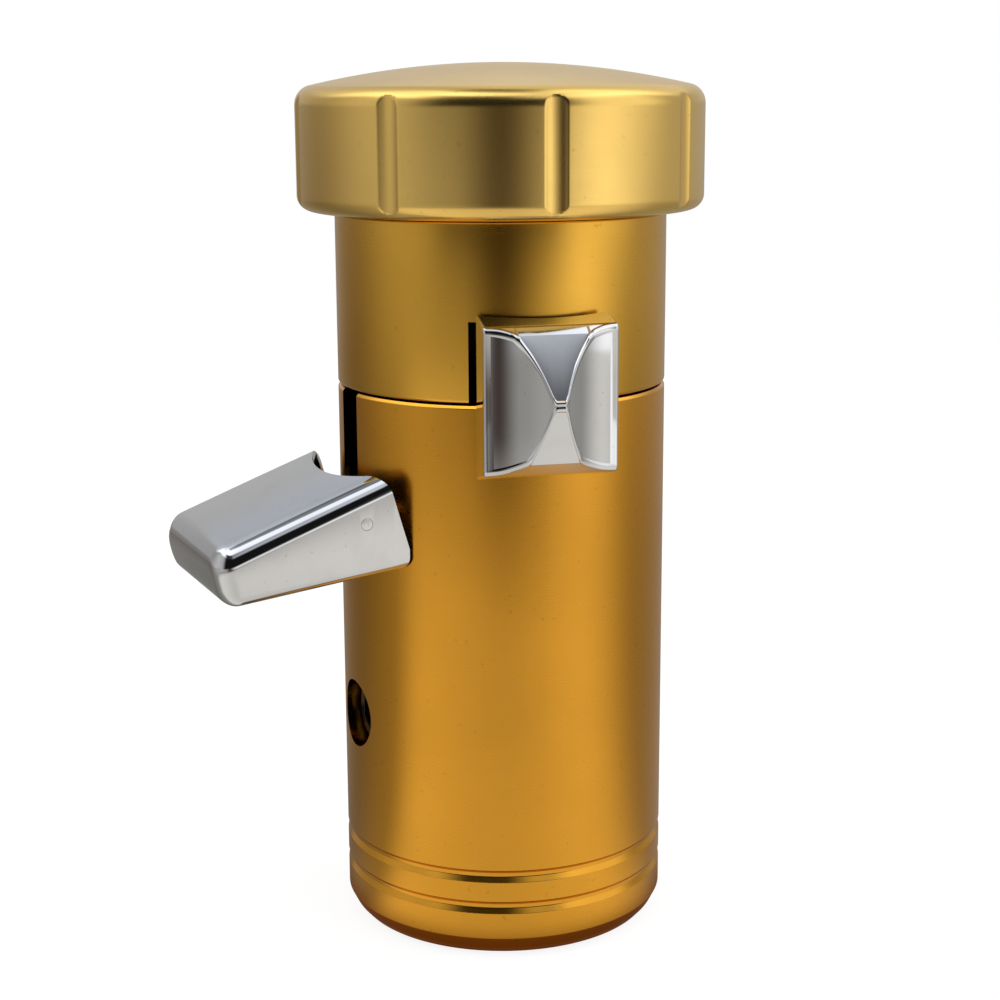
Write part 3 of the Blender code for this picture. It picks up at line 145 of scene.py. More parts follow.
class RangeLeverSettings(bpy.types.PropertyGroup):
    """Sizes of the chrome flip lever, measured in its own frame."""

    azimuth: turn("Azimuth", "Turn of the lever from -Y", -79.0)
    pivot_z: length("Pivot height", "Height of the pivot", 0.063)
    half_width: length("Half width", "Half the lever's width", 0.0127)
    wall: length("Wall", "Thickness of the shell", 0.001)
    top_rise: length("Top rise", "Top plate above the pivot at the barrel's face", 0.0033)
    top_droop: turn("Top droop", "Slope of the top plate", 20.5)
    top_crown: length("Top crown", "Crown across the top plate", 0.00012)
    top_round: length("Top round", "Rounding of the top edges", 0.0029)
    bottom_fall: length("Bottom fall", "Underside below the pivot at the barrel's face", 0.0099)
    bottom_droop: turn("Bottom droop", "Slope of the underside", 6.3)
    bottom_round: length("Bottom round", "Rounding of the lower edges", 0.0016)
    reach: length("Reach", "From the barrel's face to the lever's end", 0.0232)
    end_fall: length("End fall", "Height below the pivot where the reach is measured", 0.00495)
    end_lean: turn("End lean", "Lean of the end face", 12.5)
    end_top_round: length("End top round", "Rounding over the end face", 0.0026)
    end_side_round: length("End side round", "Rounding beside the end face", 0.0024)
    end_low_round: length("End low round", "Rounding under the end face", 0.0020)
    root_gap: length("Root gap", "Gap to the barrel low down", 0.0004)
    root_fall: length("Root fall", "Where that gap is, below the pivot", 0.0081)
    scallop_low: length("Scallop foot", "Gap to the barrel at the scallop's foot", 0.00168)
    scallop_gap: length("Scallop gap", "Gap to the barrel at the top plate", 0.0041)
    scallop_rise: length("Scallop rise", "Where that gap is, above the pivot", 0.0030)
    scallop_centre: length("Scallop centre", "From the barrel's axis to the scallop's", 0.0054)
    scallop_shift: length("Scallop shift", "How far the scallop's axis sits to the side", -0.0006)
    edge_round: length("Edge round", "Rounding of the shell's cut edges", 0.00022)
    pin_radius: length("Pin radius", "Radius of the cross pin", 0.0008)
    pin_gap: length("Pin gap", "Room round the cross pin", 0.00003)
    pin_sink: length("Pin sink", "How far the pin's ends lie below the sides", 0.00002)
    pin_x: length("Pin reach", "From the barrel's axis to the cross pin", 0.024944)
    pin_z: length("Pin height", "Height of the cross pin", 0.060089)


class BeakSettings(bpy.types.PropertyGroup):
    """Sizes of the chrome splitter beak, measured in its own frame."""

    half_width: length("Half width", "Half the beak's width", 0.00878)
    shift: length("Shift", "How far the beak sits to its side", 0.00015)
    back_radius: length("Back radius", "Radius of the back, about the barrel's axis", 0.02385)
    back_half: length("Back half height", "Half the height at the back", 0.0101)
    roof_slope: share("Roof slope", "Fall of the roof and rise of the underside", 0.26)
    roof_x: length("Roof reach", "From the barrel's axis to the end of the roof", 0.0262)
    roof_round: length("Roof round", "Rounding where the roof ends", 0.0012)
    brow_x: length("Brow reach", "From the barrel's axis to the top of the upper face", 0.0274)
    brow_half: length("Brow height", "Top of the upper face above the nose", 0.00845)
    chin_x: length("Chin reach", "From the barrel's axis to the bottom of the lower face", 0.0283)
    chin_half: length("Chin depth", "Bottom of the lower face below the nose", 0.00773)
    face_round: length("Face round", "Rounding where the faces start", 0.00025)
    nose_x: length("Nose reach", "From the barrel's axis to the nose", 0.0312)
    nose_z: length("Nose height", "Height of the nose", 0.0768)
    nose_half: length("Nose half height", "Half the height of the nose", 0.0001)
    cove_radius: length("Cove radius", "Radius of the thumb coves", 0.0102)
    cove_offset: length("Cove offset", "From the middle to a cove's axis", 0.0093)
    cove_floor: length("Cove floor", "From the barrel's axis to a cove's floor", 0.02655)
    rim_width: length("Rim width", "Width of the bevel on the coves' rims", 0.00072)
    rim_bulge: share("Rim bulge", "How far the coves' rims stand proud, to their width", 0.9)
    edge_round: length("Edge round", "Rounding of the side edges", 0.0004)
    tenon_half_width: length("Tenon half width", "Half the arm's tenon across, with room", 0.0031)
    tenon_half_height: length("Tenon half height", "Half the arm's tenon up, with room", 0.0023)
    tenon_rise: length("Tenon rise", "From the arm's lowest point to the tenon's middle", 0.0025)
    tenon_end: length("Tenon end", "From the barrel's axis to the tenon's pocket end", 0.02684)


class HubSettings(bpy.types.PropertyGroup):
    """Sizes of the mounting hub, its screws and the hose tails."""

    radius: length("Radius", "Outside of the hub", 0.0177)
    bore: length("Bore", "Radius of the gear lever's socket", 0.0065)
    bore_depth: length("Bore depth", "Depth of the socket", 0.0138)
    hole_circle: length("Hole circle", "Radius of the circle of holes", 0.012120)
    air_hole: length("Air hole", "Radius of a hose hole", 0.0034)
    screw_radius: length("Screw radius", "Radius of the screws' shanks", 0.0015)
    screw_head: length("Screw head", "Radius of the screws' heads", 0.0028)
    screw_head_height: length("Screw head height", "Height of the screws' heads", 0.0026)
    screw_hex: length("Screw hex", "Half the socket across its flats", 0.00125)
    screw_seat: length("Screw seat", "From the hub's top down to a head's seat", 0.006)
    gap: length("Gap", "Room round the screws", 0.0003)
    set_radius: length("Set screw radius", "Radius of the set screw", 0.0042)
    set_length: length("Set screw length", "Length of the set screw", 0.0085)
    set_face: length("Set screw face", "From the barrel's axis to the screw's face", 0.0203)
    set_hex: length("Set screw hex", "Half its socket across its flats", 0.0025)
    tail_radius: length("Tail radius", "Radius of a hose tail", 0.0018)
    barb_radius: length("Barb radius", "Radius of a barb", 0.0023)
    barb_pitch: length("Barb pitch", "From barb to barb", 0.0028)
    barb_length: length("Barb length", "Length of a barb", 0.0022)
    barb_count: IntProperty(name="Barbs", description="Barbs on a hose tail", default=3, min=1)
    fitting_hex: length("Fitting hex", "Half a fitting's hexagon across its flats", 0.0031)
    fitting_hex_height: length("Fitting hex height", "Height of the hexagon", 0.003)
    thread_radius: length("Thread radius", "Radius of a fitting's thread", 0.0024)
    thread_length: length("Thread length", "Length of a fitting's thread", 0.004)
    tail_hole: length("Tail hole", "Radius of the air way", 0.0010)
    edge_round: length("Edge round", "Rounding of the hub's cut edges", 0.00025)
    screw_edge: length("Screw edge", "Rounding of the screws' edges", 0.00012)
    set_edge: length("Set screw edge", "Rounding of the set screw's edges", 0.0002)
    fitting_edge: length("Fitting edge", "Rounding of the fittings' edges", 0.00015)


class SpringSettings(bpy.types.PropertyGroup):
    """Sizes of the detent springs."""

    turns: IntProperty(name="Turns", description="Turns of a spring", default=9, min=1)
    radius: length("Radius", "Radius to the wire's middle", 0.00088)
    wire: length("Wire", "Radius of the wire", 0.00022)
    span: length("Span", "Length of a spring", 0.0055)


class StageSettings(bpy.types.PropertyGroup):
    """Camera and light."""

    camera_place: FloatVectorProperty(
        name="Camera",
        description="Where the camera stands",
        default=(-0.0617, -0.25698, 0.11644),
        size=3,
        subtype="TRANSLATION",
    )
    camera_heading: turn("Heading", "Turn of the camera about Z", -13.443)
    camera_pitch: turn("Pitch", "Tilt of the camera below level", 12.375)
    camera_roll: turn("Roll", "Roll of the camera", -0.30)
    lens: FloatProperty(name="Lens", description="Focal length", default=69.36, unit="CAMERA")
    floor_colour: tint("Floor colour", "Pale floor", (0.86, 0.85, 0.82))
    room_light: share("Room light", "Strength of the studio round the knob", 1.0)
    floor_light: share("Floor light", "Strength of the floor that the metal mirrors", 1.0)
    backdrop: share("Backdrop", "Strength of the white behind the knob", 1.0)


class KnobSettings(bpy.types.PropertyGroup):
    """Every group of settings."""

    barrel: PointerProperty(type=BarrelSettings)
    cap: PointerProperty(type=CapSettings)
    range_lever: PointerProperty(type=RangeLeverSettings)
    beak: PointerProperty(type=BeakSettings)
    hub: PointerProperty(type=HubSettings)
    spring: PointerProperty(type=SpringSettings)
    stage: PointerProperty(type=StageSettings)


# Shapes

BARREL_STEPS = 256
FLUTE_STEPS = 44
LAND_STEPS = 24
SMALL_STEPS = 64
ROUND_STEPS = 6
RIM_STEPS = 10
PIN_STEPS = 40
DOME_STEPS = 24
BEND_STEPS = 14
SIDE_STEPS = 48
LEVER_STEPS = 24
EDGE_STEPS = 6
BEAK_STEPS = 144
GROOVE_ROUNDS = (0.0001, 0.00008, 0.00006, 0.00025, 0.00012)
LEAST_ROUND = 0.0004
LEVER_EASE_ANGLE = 45.0
DOME_TANGENT = math.radians(78.0)
AIR_TURNS = (120.0, 180.0, 240.0)
SCREW_TURNS = (60.0, 300.0)
OVERSHOOT = 0.006
SHARP = math.radians(20.0)
BEAK_SHARP = math.radians(11.0)


def rounded(corners, radii, steps=ROUND_STEPS, closed=True):
    """Points along a flat outline with each corner rounded to its radius."""
    path = []
    last = len(corners) - 1
    for index, (corner, radius) in enumerate(zip(corners, radii)):
        corner = Vector(corner)
        if radius == 0.0 or (not closed and index in (0, last)):
            path.append(corner)
            continue
        back = Vector(corners[index - 1]) - corner
        ahead = Vector(corners[(index + 1) % len(corners)]) - corner
        room = 0.48 * min(back.length, ahead.length)
        back.normalize()
        ahead.normalize()
        bend = math.pi - math.acos(max(-1.0, min(1.0, back.dot(ahead))))
        if bend < 0.002:
            reach = min(room, radius * 0.1)
            for step in range(steps + 1):
                path.append(corner + back * reach + (ahead - back) * reach * step / steps)
            continue
        reach = min(room, radius * math.tan(bend / 2))
        middle = corner + (back + ahead).normalized() * (reach / math.sin(bend / 2))
        arm = corner + back * reach - middle
        side = arm.y * back.x - arm.x * back.y
        for step in range(steps + 1):
            angle = math.copysign(bend * step / steps, side)
            path.append(middle + Matrix.Rotation(angle, 2) @ arm)
    return path


def arc(middle, radius, first, last):
    """Points round part of a circle, from one angle to another."""
    turns = [first + (last - first) * step / BEND_STEPS for step in range(BEND_STEPS + 1)]
    return [(middle[0] + radius * math.cos(t), middle[1] + radius * math.sin(t)) for t in turns]


def skin(shape, first, second):
    """Faces between two rings of points, where a ring may be one point."""
    count = max(len(first), len(second))
    for index in range(count):
        after = (index + 1) % count
        corners = [
            first[index % len(first)],
            first[after % len(first)],
            second[after % len(second)],
            second[index % len(second)],
        ]
        corners = list(dict.fromkeys(corners))
        if len(corners) > 2:
            shape.faces.new(corners)


def lathe(profile, steps, closed=False, turns=None):
    """A profile of (radius, height) pairs turned about Z."""
    shape = bmesh.new()
    rings = []
    turns = turns or [2 * math.pi * step / steps for step in range(steps)]
    for radius, height in profile:
        if radius < 1e-7:
            rings.append([shape.verts.new((0.0, 0.0, height))])
            continue
        rings.append(
            [shape.verts.new((radius * math.cos(t), radius * math.sin(t), height)) for t in turns]
        )
    pairs = list(zip(rings, rings[1:]))
    if closed:
        pairs.append((rings[-1], rings[0]))
    for first, second in pairs:
        skin(shape, first, second)
    bmesh.ops.recalc_face_normals(shape, faces=shape.faces)
    return shape


def rod(radius, low, high, steps=SMALL_STEPS):
    """An upright cylinder on Z."""
    return lathe([(0.0, high), (radius, high), (radius, low), (0.0, low)], steps)


def hexagon(flat, low, high):
    """An upright hexagonal bar on Z, sized to its flats."""
    return rod(flat / math.cos(math.pi / 6), low, high, steps=6)


def block(low, high):
    """A box between two corners."""
    shape = bmesh.new()
    bmesh.ops.create_cube(shape, size=1.0)
    bmesh.ops.scale(shape, verts=shape.verts, vec=Vector(high) - Vector(low))
    bmesh.ops.translate(shape, verts=shape.verts, vec=(Vector(high) + Vector(low)) / 2)
    return shape


def loft(sections):
    """A closed skin through rings of points, with flat ends."""
    shape = bmesh.new()
    rings = [[shape.verts.new(point) for point in section] for section in sections]
    for first, second in zip(rings, rings[1:]):
        skin(shape, first, second)
    shape.faces.new(rings[0])
    shape.faces.new(rings[-1])
    bmesh.ops.recalc_face_normals(shape, faces=shape.faces)
    return shape


def lever_matrix(azimuth):
    """From a lever's own frame, +X outwards, to the knob's."""
    return Matrix.Rotation(azimuth - math.pi / 2, 4, "Z")


def lying(point, axis):
    """Turns an upright shape to lie along X or Y through a point."""
    about = "Y" if axis == "X" else "X"
    return Matrix.Translation(point) @ Matrix.Rotation(math.pi / 2, 4, about)


def new_object(name, shape, place=None):
    mesh = bpy.data.meshes.new(name)
    shape.to_mesh(mesh)
    shape.free()
    if place is not None:
        mesh.transform(place)
    made = bpy.data.objects.new(name, mesh)
    bpy.context.scene.collection.objects.link(made)
    return made


def carve(piece, shape, place=None, operation="DIFFERENCE"):
    """Adds a Boolean with a hidden tool shape."""
    tool = new_object(f"{piece.name}_tool_{len(piece.modifiers)}", shape, place)
    tool.hide_render = True
    modifier = piece.modifiers.new(tool.name, "BOOLEAN")
    modifier.operation = operation
    modifier.solver = "MANIFOLD"
    modifier.object = tool


def ease(piece, width, angle=50.0, segments=2):
    """Adds a fine rounding of the sharp edges."""
    modifier = piece.modifiers.new("ease", "BEVEL")
    modifier.width = width
    modifier.segments = segments
    modifier.limit_method = "ANGLE"
    modifier.angle_limit = math.radians(angle)
    modifier.use_clamp_overlap = True


def make_plain(piece):
    """Makes a piece's modifiers real and drops its tool shapes."""
    tools = [m.object for m in piece.modifiers if m.type == "BOOLEAN"]
    graph = bpy.context.evaluated_depsgraph_get()
    mesh = bpy.data.meshes.new_from_object(piece.evaluated_get(graph))
    piece.modifiers.clear()
    old = piece.data
    piece.data = mesh
    bpy.data.meshes.remove(old)
    for tool in tools:
        bpy.data.objects.remove(tool, do_unlink=True)


def settle(piece, material, body, slot, *nodes, sharp=SHARP):
    """Finishes a piece and puts it on its body in place of CAD nodes."""
    if piece.modifiers:
        make_plain(piece)
    piece.data.shade_smooth()
    piece.data.set_sharp_from_angle(angle=sharp)
    piece.data.materials.clear()
    piece.data.materials.append(material)
    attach(piece, body)
    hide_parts(*nodes)


# Node trees

# Painted shade: how far the anodised gold darkens on slot walls and inside the barrels.
DEEP_PAINTED_SHADE = 2.7
CUT_DEPTH = 0.00004
CUT_POLISH = -0.12
# Painted shade: how far the chrome darkens inside the flip lever's shell.
HOLLOW_PAINTED_SHADE = 4.7
HOLLOW_DULL = 0.5


def add(tree, kind, sockets=None, **settings):
    """A node with its settings and sockets; a socket value is linked."""
    made = tree.nodes.new(kind)
    for name, value in settings.items():
        setattr(made, name, value)
    for name, value in (sockets or {}).items():
        if isinstance(value, bpy.types.NodeSocket):
            tree.links.new(value, made.inputs[name])
        else:
            made.inputs[name].default_value = value
    return made


def maths(tree, operation, *values):
    sockets = dict(enumerate(values))
    return add(tree, "ShaderNodeMath", sockets, operation=operation).outputs[0]


def spread(tree, value, from_low, from_high, to_low, to_high, kind="LINEAR"):
    """A Map Range node's result."""
    sockets = {"Value": value, "From Min": from_low, "From Max": from_high}
    sockets.update({"To Min": to_low, "To Max": to_high})
    return add(tree, "ShaderNodeMapRange", sockets, interpolation_type=kind).outputs[0]


def fade(tree, value, start, end, first=0.0, last=1.0):
    """A soft step from one level to another."""
    return spread(tree, value, start, end, first, last, "SMOOTHSTEP")


def from_axis(tree, place):
    """A place's parts, the place at no height and its distance from the Z axis."""
    parts = add(tree, "ShaderNodeSeparateXYZ", {0: place}).outputs
    level = add(tree, "ShaderNodeCombineXYZ", {0: parts[0], 1: parts[1]}).outputs[0]
    reach = add(tree, "ShaderNodeVectorMath", {0: level}, operation="LENGTH").outputs["Value"]
    return parts, level, reach


def grain(tree, scale, detail=3.0, rough=0.6, stretch=(1.0, 1.0, 1.0)):
    """Noise in the piece's own metres, stretched along its axes."""
    coords = add(tree, "ShaderNodeTexCoord").outputs["Object"]
    mapped = add(tree, "ShaderNodeMapping", {"Vector": coords, "Scale": stretch}).outputs[0]
    sockets = {"Vector": mapped, "Scale": scale, "Detail": detail, "Roughness": rough}
    return add(tree, "ShaderNodeTexNoise", sockets).outputs["Fac"]


def shaded(tree, colour, dark, amount):
    """A colour that darkens to a share of itself where amount is high."""
    low = (*(c * dark for c in colour), 1.0)
    sockets = {"Factor": amount}
    mixed = add(tree, "ShaderNodeMix", sockets, data_type="RGBA", clamp_factor=False, clamp_result=True)
    mixed.inputs[6].default_value = (*colour, 1.0)
    mixed.inputs[7].default_value = low
    return mixed.outputs[2]


def new_material(name, metallic):
    made = bpy.data.materials.new(name)
    made.use_nodes = True
    shader = made.node_tree.nodes["Principled BSDF"]
    shader.inputs["Metallic"].default_value = metallic
    return made, made.node_tree, shader


def wire_up(tree, shader, colour, rough, height, strength, distance):
    """Links colour, roughness and a bump to the shader."""
    tree.links.new(colour, shader.inputs["Base Color"])
    tree.links.new(rough, shader.inputs["Roughness"])
    sockets = {"Height": height, "Strength": strength, "Distance": distance}
    bump = add(tree, "ShaderNodeBump", sockets)
    tree.links.new(bump.outputs["Normal"], shader.inputs["Normal"])


def anodised(name, colour, rough, radius=0.0, skin=0.0, height=0.0):
    """Satin dyed anodising over a turned surface: fine rings, soft blotches and pin specks.

    With a radius, what is cut into it is shinier, and what lies deeper than a skin
    and above a height gets painted shade, darkened as if in shadow.
    """
    made, tree, shader = new_material(name, 1.0)
    rings = grain(tree, 1.0, 3.0, 0.6, (120.0, 120.0, 9000.0))
    blotch = grain(tree, 60.0, 3.0, 0.55)
    satin = grain(tree, 5200.0, 2.0, 0.5)
    specks = spread(tree, grain(tree, 1300.0, 1.0, 0.4), 0.71, 0.77, 0.0, 0.45)
    ringed = spread(tree, rings, 0.35, 0.68, 0.0, 0.04)
    blotched = spread(tree, blotch, 0.35, 0.7, 0.0, 0.16)
    amount = maths(tree, "MAXIMUM", maths(tree, "ADD", ringed, blotched), specks)
    if radius:
        coords = add(tree, "ShaderNodeTexCoord").outputs["Object"]
        parts, _, reach = from_axis(tree, coords)
        # Painted shade: slot walls and the barrels' insides deeper than the skin and above the height are
        # darkened.
        inside = maths(tree, "LESS_THAN", reach, radius - skin)
        painted_deep_shade = maths(tree, "MULTIPLY", inside, maths(tree, "GREATER_THAN", parts[2], height))
        amount = maths(tree, "ADD", amount, maths(tree, "MULTIPLY", painted_deep_shade, DEEP_PAINTED_SHADE))
    base = shaded(tree, colour, 0.66, amount)
    fine = maths(tree, "MULTIPLY", rings, 0.03)
    uneven = maths(tree, "MULTIPLY_ADD", blotch, 0.10, fine)
    polish = maths(tree, "ADD", uneven, rough - 0.065)
    if radius:
        cut = maths(tree, "LESS_THAN", reach, radius - CUT_DEPTH)
        polish = maths(tree, "MULTIPLY_ADD", cut, CUT_POLISH, polish)
    wire_up(tree, shader, base, polish, satin, 0.03, 0.00003)
    return made


def in_hollow(tree, sizes, radius):
    """One inside the flip lever's shell, else nought."""
    coords = add(tree, "ShaderNodeTexCoord").outputs["Object"]
    sockets = {"Vector": coords, "Angle": math.pi / 2 - sizes.azimuth}
    spun = add(tree, "ShaderNodeVectorRotate", sockets, rotation_type="Z_AXIS").outputs[0]
    parts = add(tree, "ShaderNodeSeparateXYZ", {0: spun}).outputs
    depth = sizes.wall * 0.93
    out = maths(tree, "SUBTRACT", parts[0], radius)
    top_start = sizes.pivot_z + sizes.top_rise - depth
    top = maths(tree, "MULTIPLY_ADD", out, -math.tan(sizes.top_droop), top_start)
    low_start = sizes.pivot_z - sizes.bottom_fall + depth
    low = maths(tree, "MULTIPLY_ADD", out, -math.tan(sizes.bottom_droop), low_start)
    under = maths(tree, "LESS_THAN", parts[2], top)
    over = maths(tree, "GREATER_THAN", parts[2], low)
    between = maths(tree, "LESS_THAN", maths(tree, "ABSOLUTE", parts[1]), sizes.half_width - depth)
    near = maths(tree, "LESS_THAN", out, sizes.reach * 0.8)
    level = maths(tree, "MULTIPLY", under, over)
    return maths(tree, "MULTIPLY", level, maths(tree, "MULTIPLY", between, near))


def chromed(name, hollow=None):
    """Polished plate with faint ripples, wipe marks and pin specks.

    With a hollow, what lies inside a shell gets painted shade, dark, and is left dull.
    """
    made, tree, shader = new_material(name, 1.0)
    wipes = grain(tree, 1.0, 3.0, 0.6, (90.0, 260.0, 90.0))
    smudge = grain(tree, 190.0, 4.0, 0.6)
    specks = spread(tree, grain(tree, 1900.0, 1.0, 0.3), 0.72, 0.78, 0.0, 0.6)
    ripple = grain(tree, 140.0, 1.0, 0.4)
    dull_and_shade = maths(tree, "MAXIMUM", specks, spread(tree, smudge, 0.5, 0.8, 0.0, 0.3))
    wiped = spread(tree, wipes, 0.35, 0.75, 0.0, 0.035)
    polish = maths(tree, "ADD", wiped, spread(tree, smudge, 0.45, 0.8, 0.035, 0.085))
    if hollow:
        # Painted shade: the inside of the lever's shell is darkened to near black; specks and smudges are
        # the chrome's own marks.
        inside = in_hollow(tree, *hollow)
        dull_and_shade = maths(tree, "MULTIPLY_ADD", inside, HOLLOW_PAINTED_SHADE, dull_and_shade)
        polish = maths(tree, "MULTIPLY_ADD", inside, HOLLOW_DULL, polish)
    base = shaded(tree, (0.62, 0.62, 0.63), 0.80, dull_and_shade)
    wire_up(tree, shader, base, polish, ripple, 0.05, 0.0002)
    return made


def ground_steel(name, colour, rough):
    """Steel with short grinding marks and a few darker stains."""
    made, tree, shader = new_material(name, 1.0)
    marks = grain(tree, 1.0, 4.0, 0.7, (4200.0, 420.0, 4200.0))
    stain = grain(tree, 260.0, 4.0, 0.6)
    base = shaded(tree, colour, 0.55, spread(tree, stain, 0.5, 0.75, 0.0, 0.8))
    polish = maths(tree, "ADD", maths(tree, "MULTIPLY", marks, 0.18), rough - 0.09)
    wire_up(tree, shader, base, polish, marks, 0.15, 0.00004)
    return made


def turned_alloy(name, colour, rough):
    """Bare turned alloy or brass with tool rings and light tarnish."""
    made, tree, shader = new_material(name, 1.0)
    rings = grain(tree, 1.0, 3.0, 0.6, (900.0, 900.0, 3600.0))
    tarnish = grain(tree, 210.0, 4.0, 0.65)
    base = shaded(tree, colour, 0.5, spread(tree, tarnish, 0.48, 0.75, 0.0, 0.75))
    polish = maths(tree, "ADD", maths(tree, "MULTIPLY", tarnish, 0.25), rough - 0.12)
    wire_up(tree, shader, base, polish, rings, 0.2, 0.00005)
    return made


def oxided(name, colour):
    """Black oxide with rubbed, slightly brighter patches."""
    made, tree, shader = new_material(name, 1.0)
    rub = grain(tree, 420.0, 4.0, 0.65)
    fine = grain(tree, 5200.0, 2.0, 0.5)
    bright = tuple(min(1.0, c * 3.2 + 0.02) for c in colour)
    base = shaded(tree, bright, 0.3, spread(tree, rub, 0.36, 0.62, 0.0, 1.0))
    polish = spread(tree, rub, 0.3, 0.7, 0.34, 0.5)
    wire_up(tree, shader, base, polish, fine, 0.15, 0.00003)
    return made


def moulded(name, colour, rough, texture):
    """Moulded plastic or rubber with a fine spark-eroded texture."""
    made, tree, shader = new_material(name, 0.0)
    pebble = grain(tree, texture, 3.0, 0.6)
    bloom = grain(tree, 160.0, 3.0, 0.6)
    pale = tuple(c + 0.02 for c in colour)
    base = shaded(tree, pale, 0.45, spread(tree, bloom, 0.35, 0.7, 0.0, 1.0))
    polish = maths(tree, "ADD", maths(tree, "MULTIPLY", pebble, 0.2), rough - 0.1)
    wire_up(tree, shader, base, polish, pebble, 0.25, 0.00006)
    return made


def finish_of(name):
    """A finish by name, made once."""
    if name in bpy.data.materials:
        return bpy.data.materials[name]
    knob = bpy.context.scene.knob
    barrel = (knob.barrel.radius, knob.barrel.skin, knob.barrel.painted_shade_from)
    makers = {
        "lower_gold": lambda: anodised(name, knob.barrel.lower_colour, 0.27, *barrel),
        "upper_gold": lambda: anodised(name, knob.barrel.upper_colour, 0.26, *barrel),
        "champagne_gold": lambda: anodised(name, knob.cap.colour, 0.25),
        "chrome_plate": lambda: chromed(name),
        "lever_plate": lambda: chromed(name, (knob.range_lever, knob.barrel.radius)),
        "arm_steel": lambda: ground_steel(name, (0.16, 0.16, 0.17), 0.42),
        "pin_steel": lambda: ground_steel(name, (0.60, 0.61, 0.63), 0.24),
        "spring_wire": lambda: ground_steel(name, (0.42, 0.43, 0.45), 0.30),
        "black_oxide": lambda: oxided(name, (0.015, 0.015, 0.017)),
        "hub_alloy_turned": lambda: turned_alloy(name, (0.60, 0.61, 0.63), 0.36),
        "brass_turned": lambda: turned_alloy(name, (0.74, 0.54, 0.22), 0.30),
        "black_acetal": lambda: moulded(name, (0.012, 0.012, 0.013), 0.48, 2600.0),
        "seal_nitrile": lambda: moulded(name, (0.010, 0.010, 0.010), 0.62, 3600.0),
    }
    return makers[name]()


# Geometry node trees

def new_tree(name, numbers, whole=()):
    """A geometry tree with named inputs; gives the tree and its input sockets."""
    tree = bpy.data.node_groups.new(name, "GeometryNodeTree")
    kinds = {"Geometry": "NodeSocketGeometry"}
    kinds.update({label: "NodeSocketFloat" for label in numbers})
    kinds.update({label: "NodeSocketInt" for label in whole})
    kinds["Material"] = "NodeSocketMaterial"
    for label, kind in kinds.items():
        tree.interface.new_socket(label, in_out="INPUT", socket_type=kind)
    tree.interface.new_socket("Geometry", in_out="OUTPUT", socket_type="NodeSocketGeometry")
    return tree, tree.nodes.new("NodeGroupInput").outputs


def close_tree(tree, geometry, material):
    """Ends a tree in real geometry with its material."""
    solid = add(tree, "GeometryNodeRealizeInstances", {"Geometry": geometry}).outputs[0]
    painted = add(tree, "GeometryNodeSetMaterial", {"Geometry": solid, "Material": material}).outputs[0]
    add(tree, "NodeGroupOutput", {"Geometry": painted})


def run_tree(piece, tree, values):
    """Runs a tree on a piece and keeps the plain mesh."""
    modifier = piece.modifiers.new(tree.name, "NODES")
    modifier.node_group = tree
    for item in tree.interface.items_tree:
        if item.in_out == "INPUT" and item.name in values:
            modifier[item.identifier] = values[item.name]
    make_plain(piece)


def flute_tree():
    """Presses straight flutes into the side of a turned cap."""
    numbers = ("Count", "First turn", "Radius", "Hollow", "Depth", "Lip")
    tree, given = new_tree("cap_flutes", numbers)
    place = add(tree, "GeometryNodeInputPosition").outputs[0]
    parts, level, reach = from_axis(tree, place)
    angle = maths(tree, "SUBTRACT", maths(tree, "ARCTAN2", parts[1], parts[0]), given["First turn"])
    half_step = maths(tree, "DIVIDE", math.pi, given["Count"])
    off = maths(tree, "WRAP", angle, half_step, maths(tree, "MULTIPLY", half_step, -1.0))
    along = maths(tree, "MULTIPLY", off, given["Radius"])
    hollow_square = maths(tree, "MULTIPLY", given["Hollow"], given["Hollow"])
    room = maths(tree, "SUBTRACT", hollow_square, maths(tree, "MULTIPLY", along, along))
    round_wall = maths(tree, "SQRT", maths(tree, "MAXIMUM", room, 0.0))
    sunk = maths(tree, "SUBTRACT", round_wall, maths(tree, "SUBTRACT", given["Hollow"], given["Depth"]))
    proud = maths(tree, "ADD", maths(tree, "SUBTRACT", reach, given["Radius"]), sunk)
    push = maths(tree, "SMOOTH_MAX", proud, 0.0, given["Lip"])
    inward = add(tree, "ShaderNodeVectorMath", {0: level}, operation="NORMALIZE").outputs[0]
    scaled = add(tree, "ShaderNodeVectorMath", {0: inward}, operation="SCALE")
    tree.links.new(maths(tree, "MULTIPLY", push, -1.0), scaled.inputs["Scale"])
    moved = add(
        tree, "GeometryNodeSetPosition", {"Geometry": given["Geometry"], "Offset": scaled.outputs[0]}
    ).outputs[0]
    close_tree(tree, moved, given["Material"])
    return tree


def ring_tree():
    """Copies a shape round a circle."""
    tree, given = new_tree("copies_on_circle", ("Circle", "First turn", "Step turn"), ("Count",))
    points = add(tree, "GeometryNodePoints", {"Count": given["Count"]}).outputs[0]
    index = add(tree, "GeometryNodeInputIndex").outputs[0]
    angle = maths(tree, "MULTIPLY_ADD", index, given["Step turn"], given["First turn"])
    east = maths(tree, "MULTIPLY", maths(tree, "COSINE", angle), given["Circle"])
    north = maths(tree, "MULTIPLY", maths(tree, "SINE", angle), given["Circle"])
    spot = add(tree, "ShaderNodeCombineXYZ", {0: east, 1: north}).outputs[0]
    placed = add(tree, "GeometryNodeSetPosition", {"Geometry": points, "Position": spot}).outputs[0]
    heading = add(tree, "ShaderNodeCombineXYZ", {2: angle}).outputs[0]
    copies = add(
        tree,
        "GeometryNodeInstanceOnPoints",
        {"Points": placed, "Instance": given["Geometry"], "Rotation": heading},
    ).outputs[0]
    close_tree(tree, copies, given["Material"])
    return tree


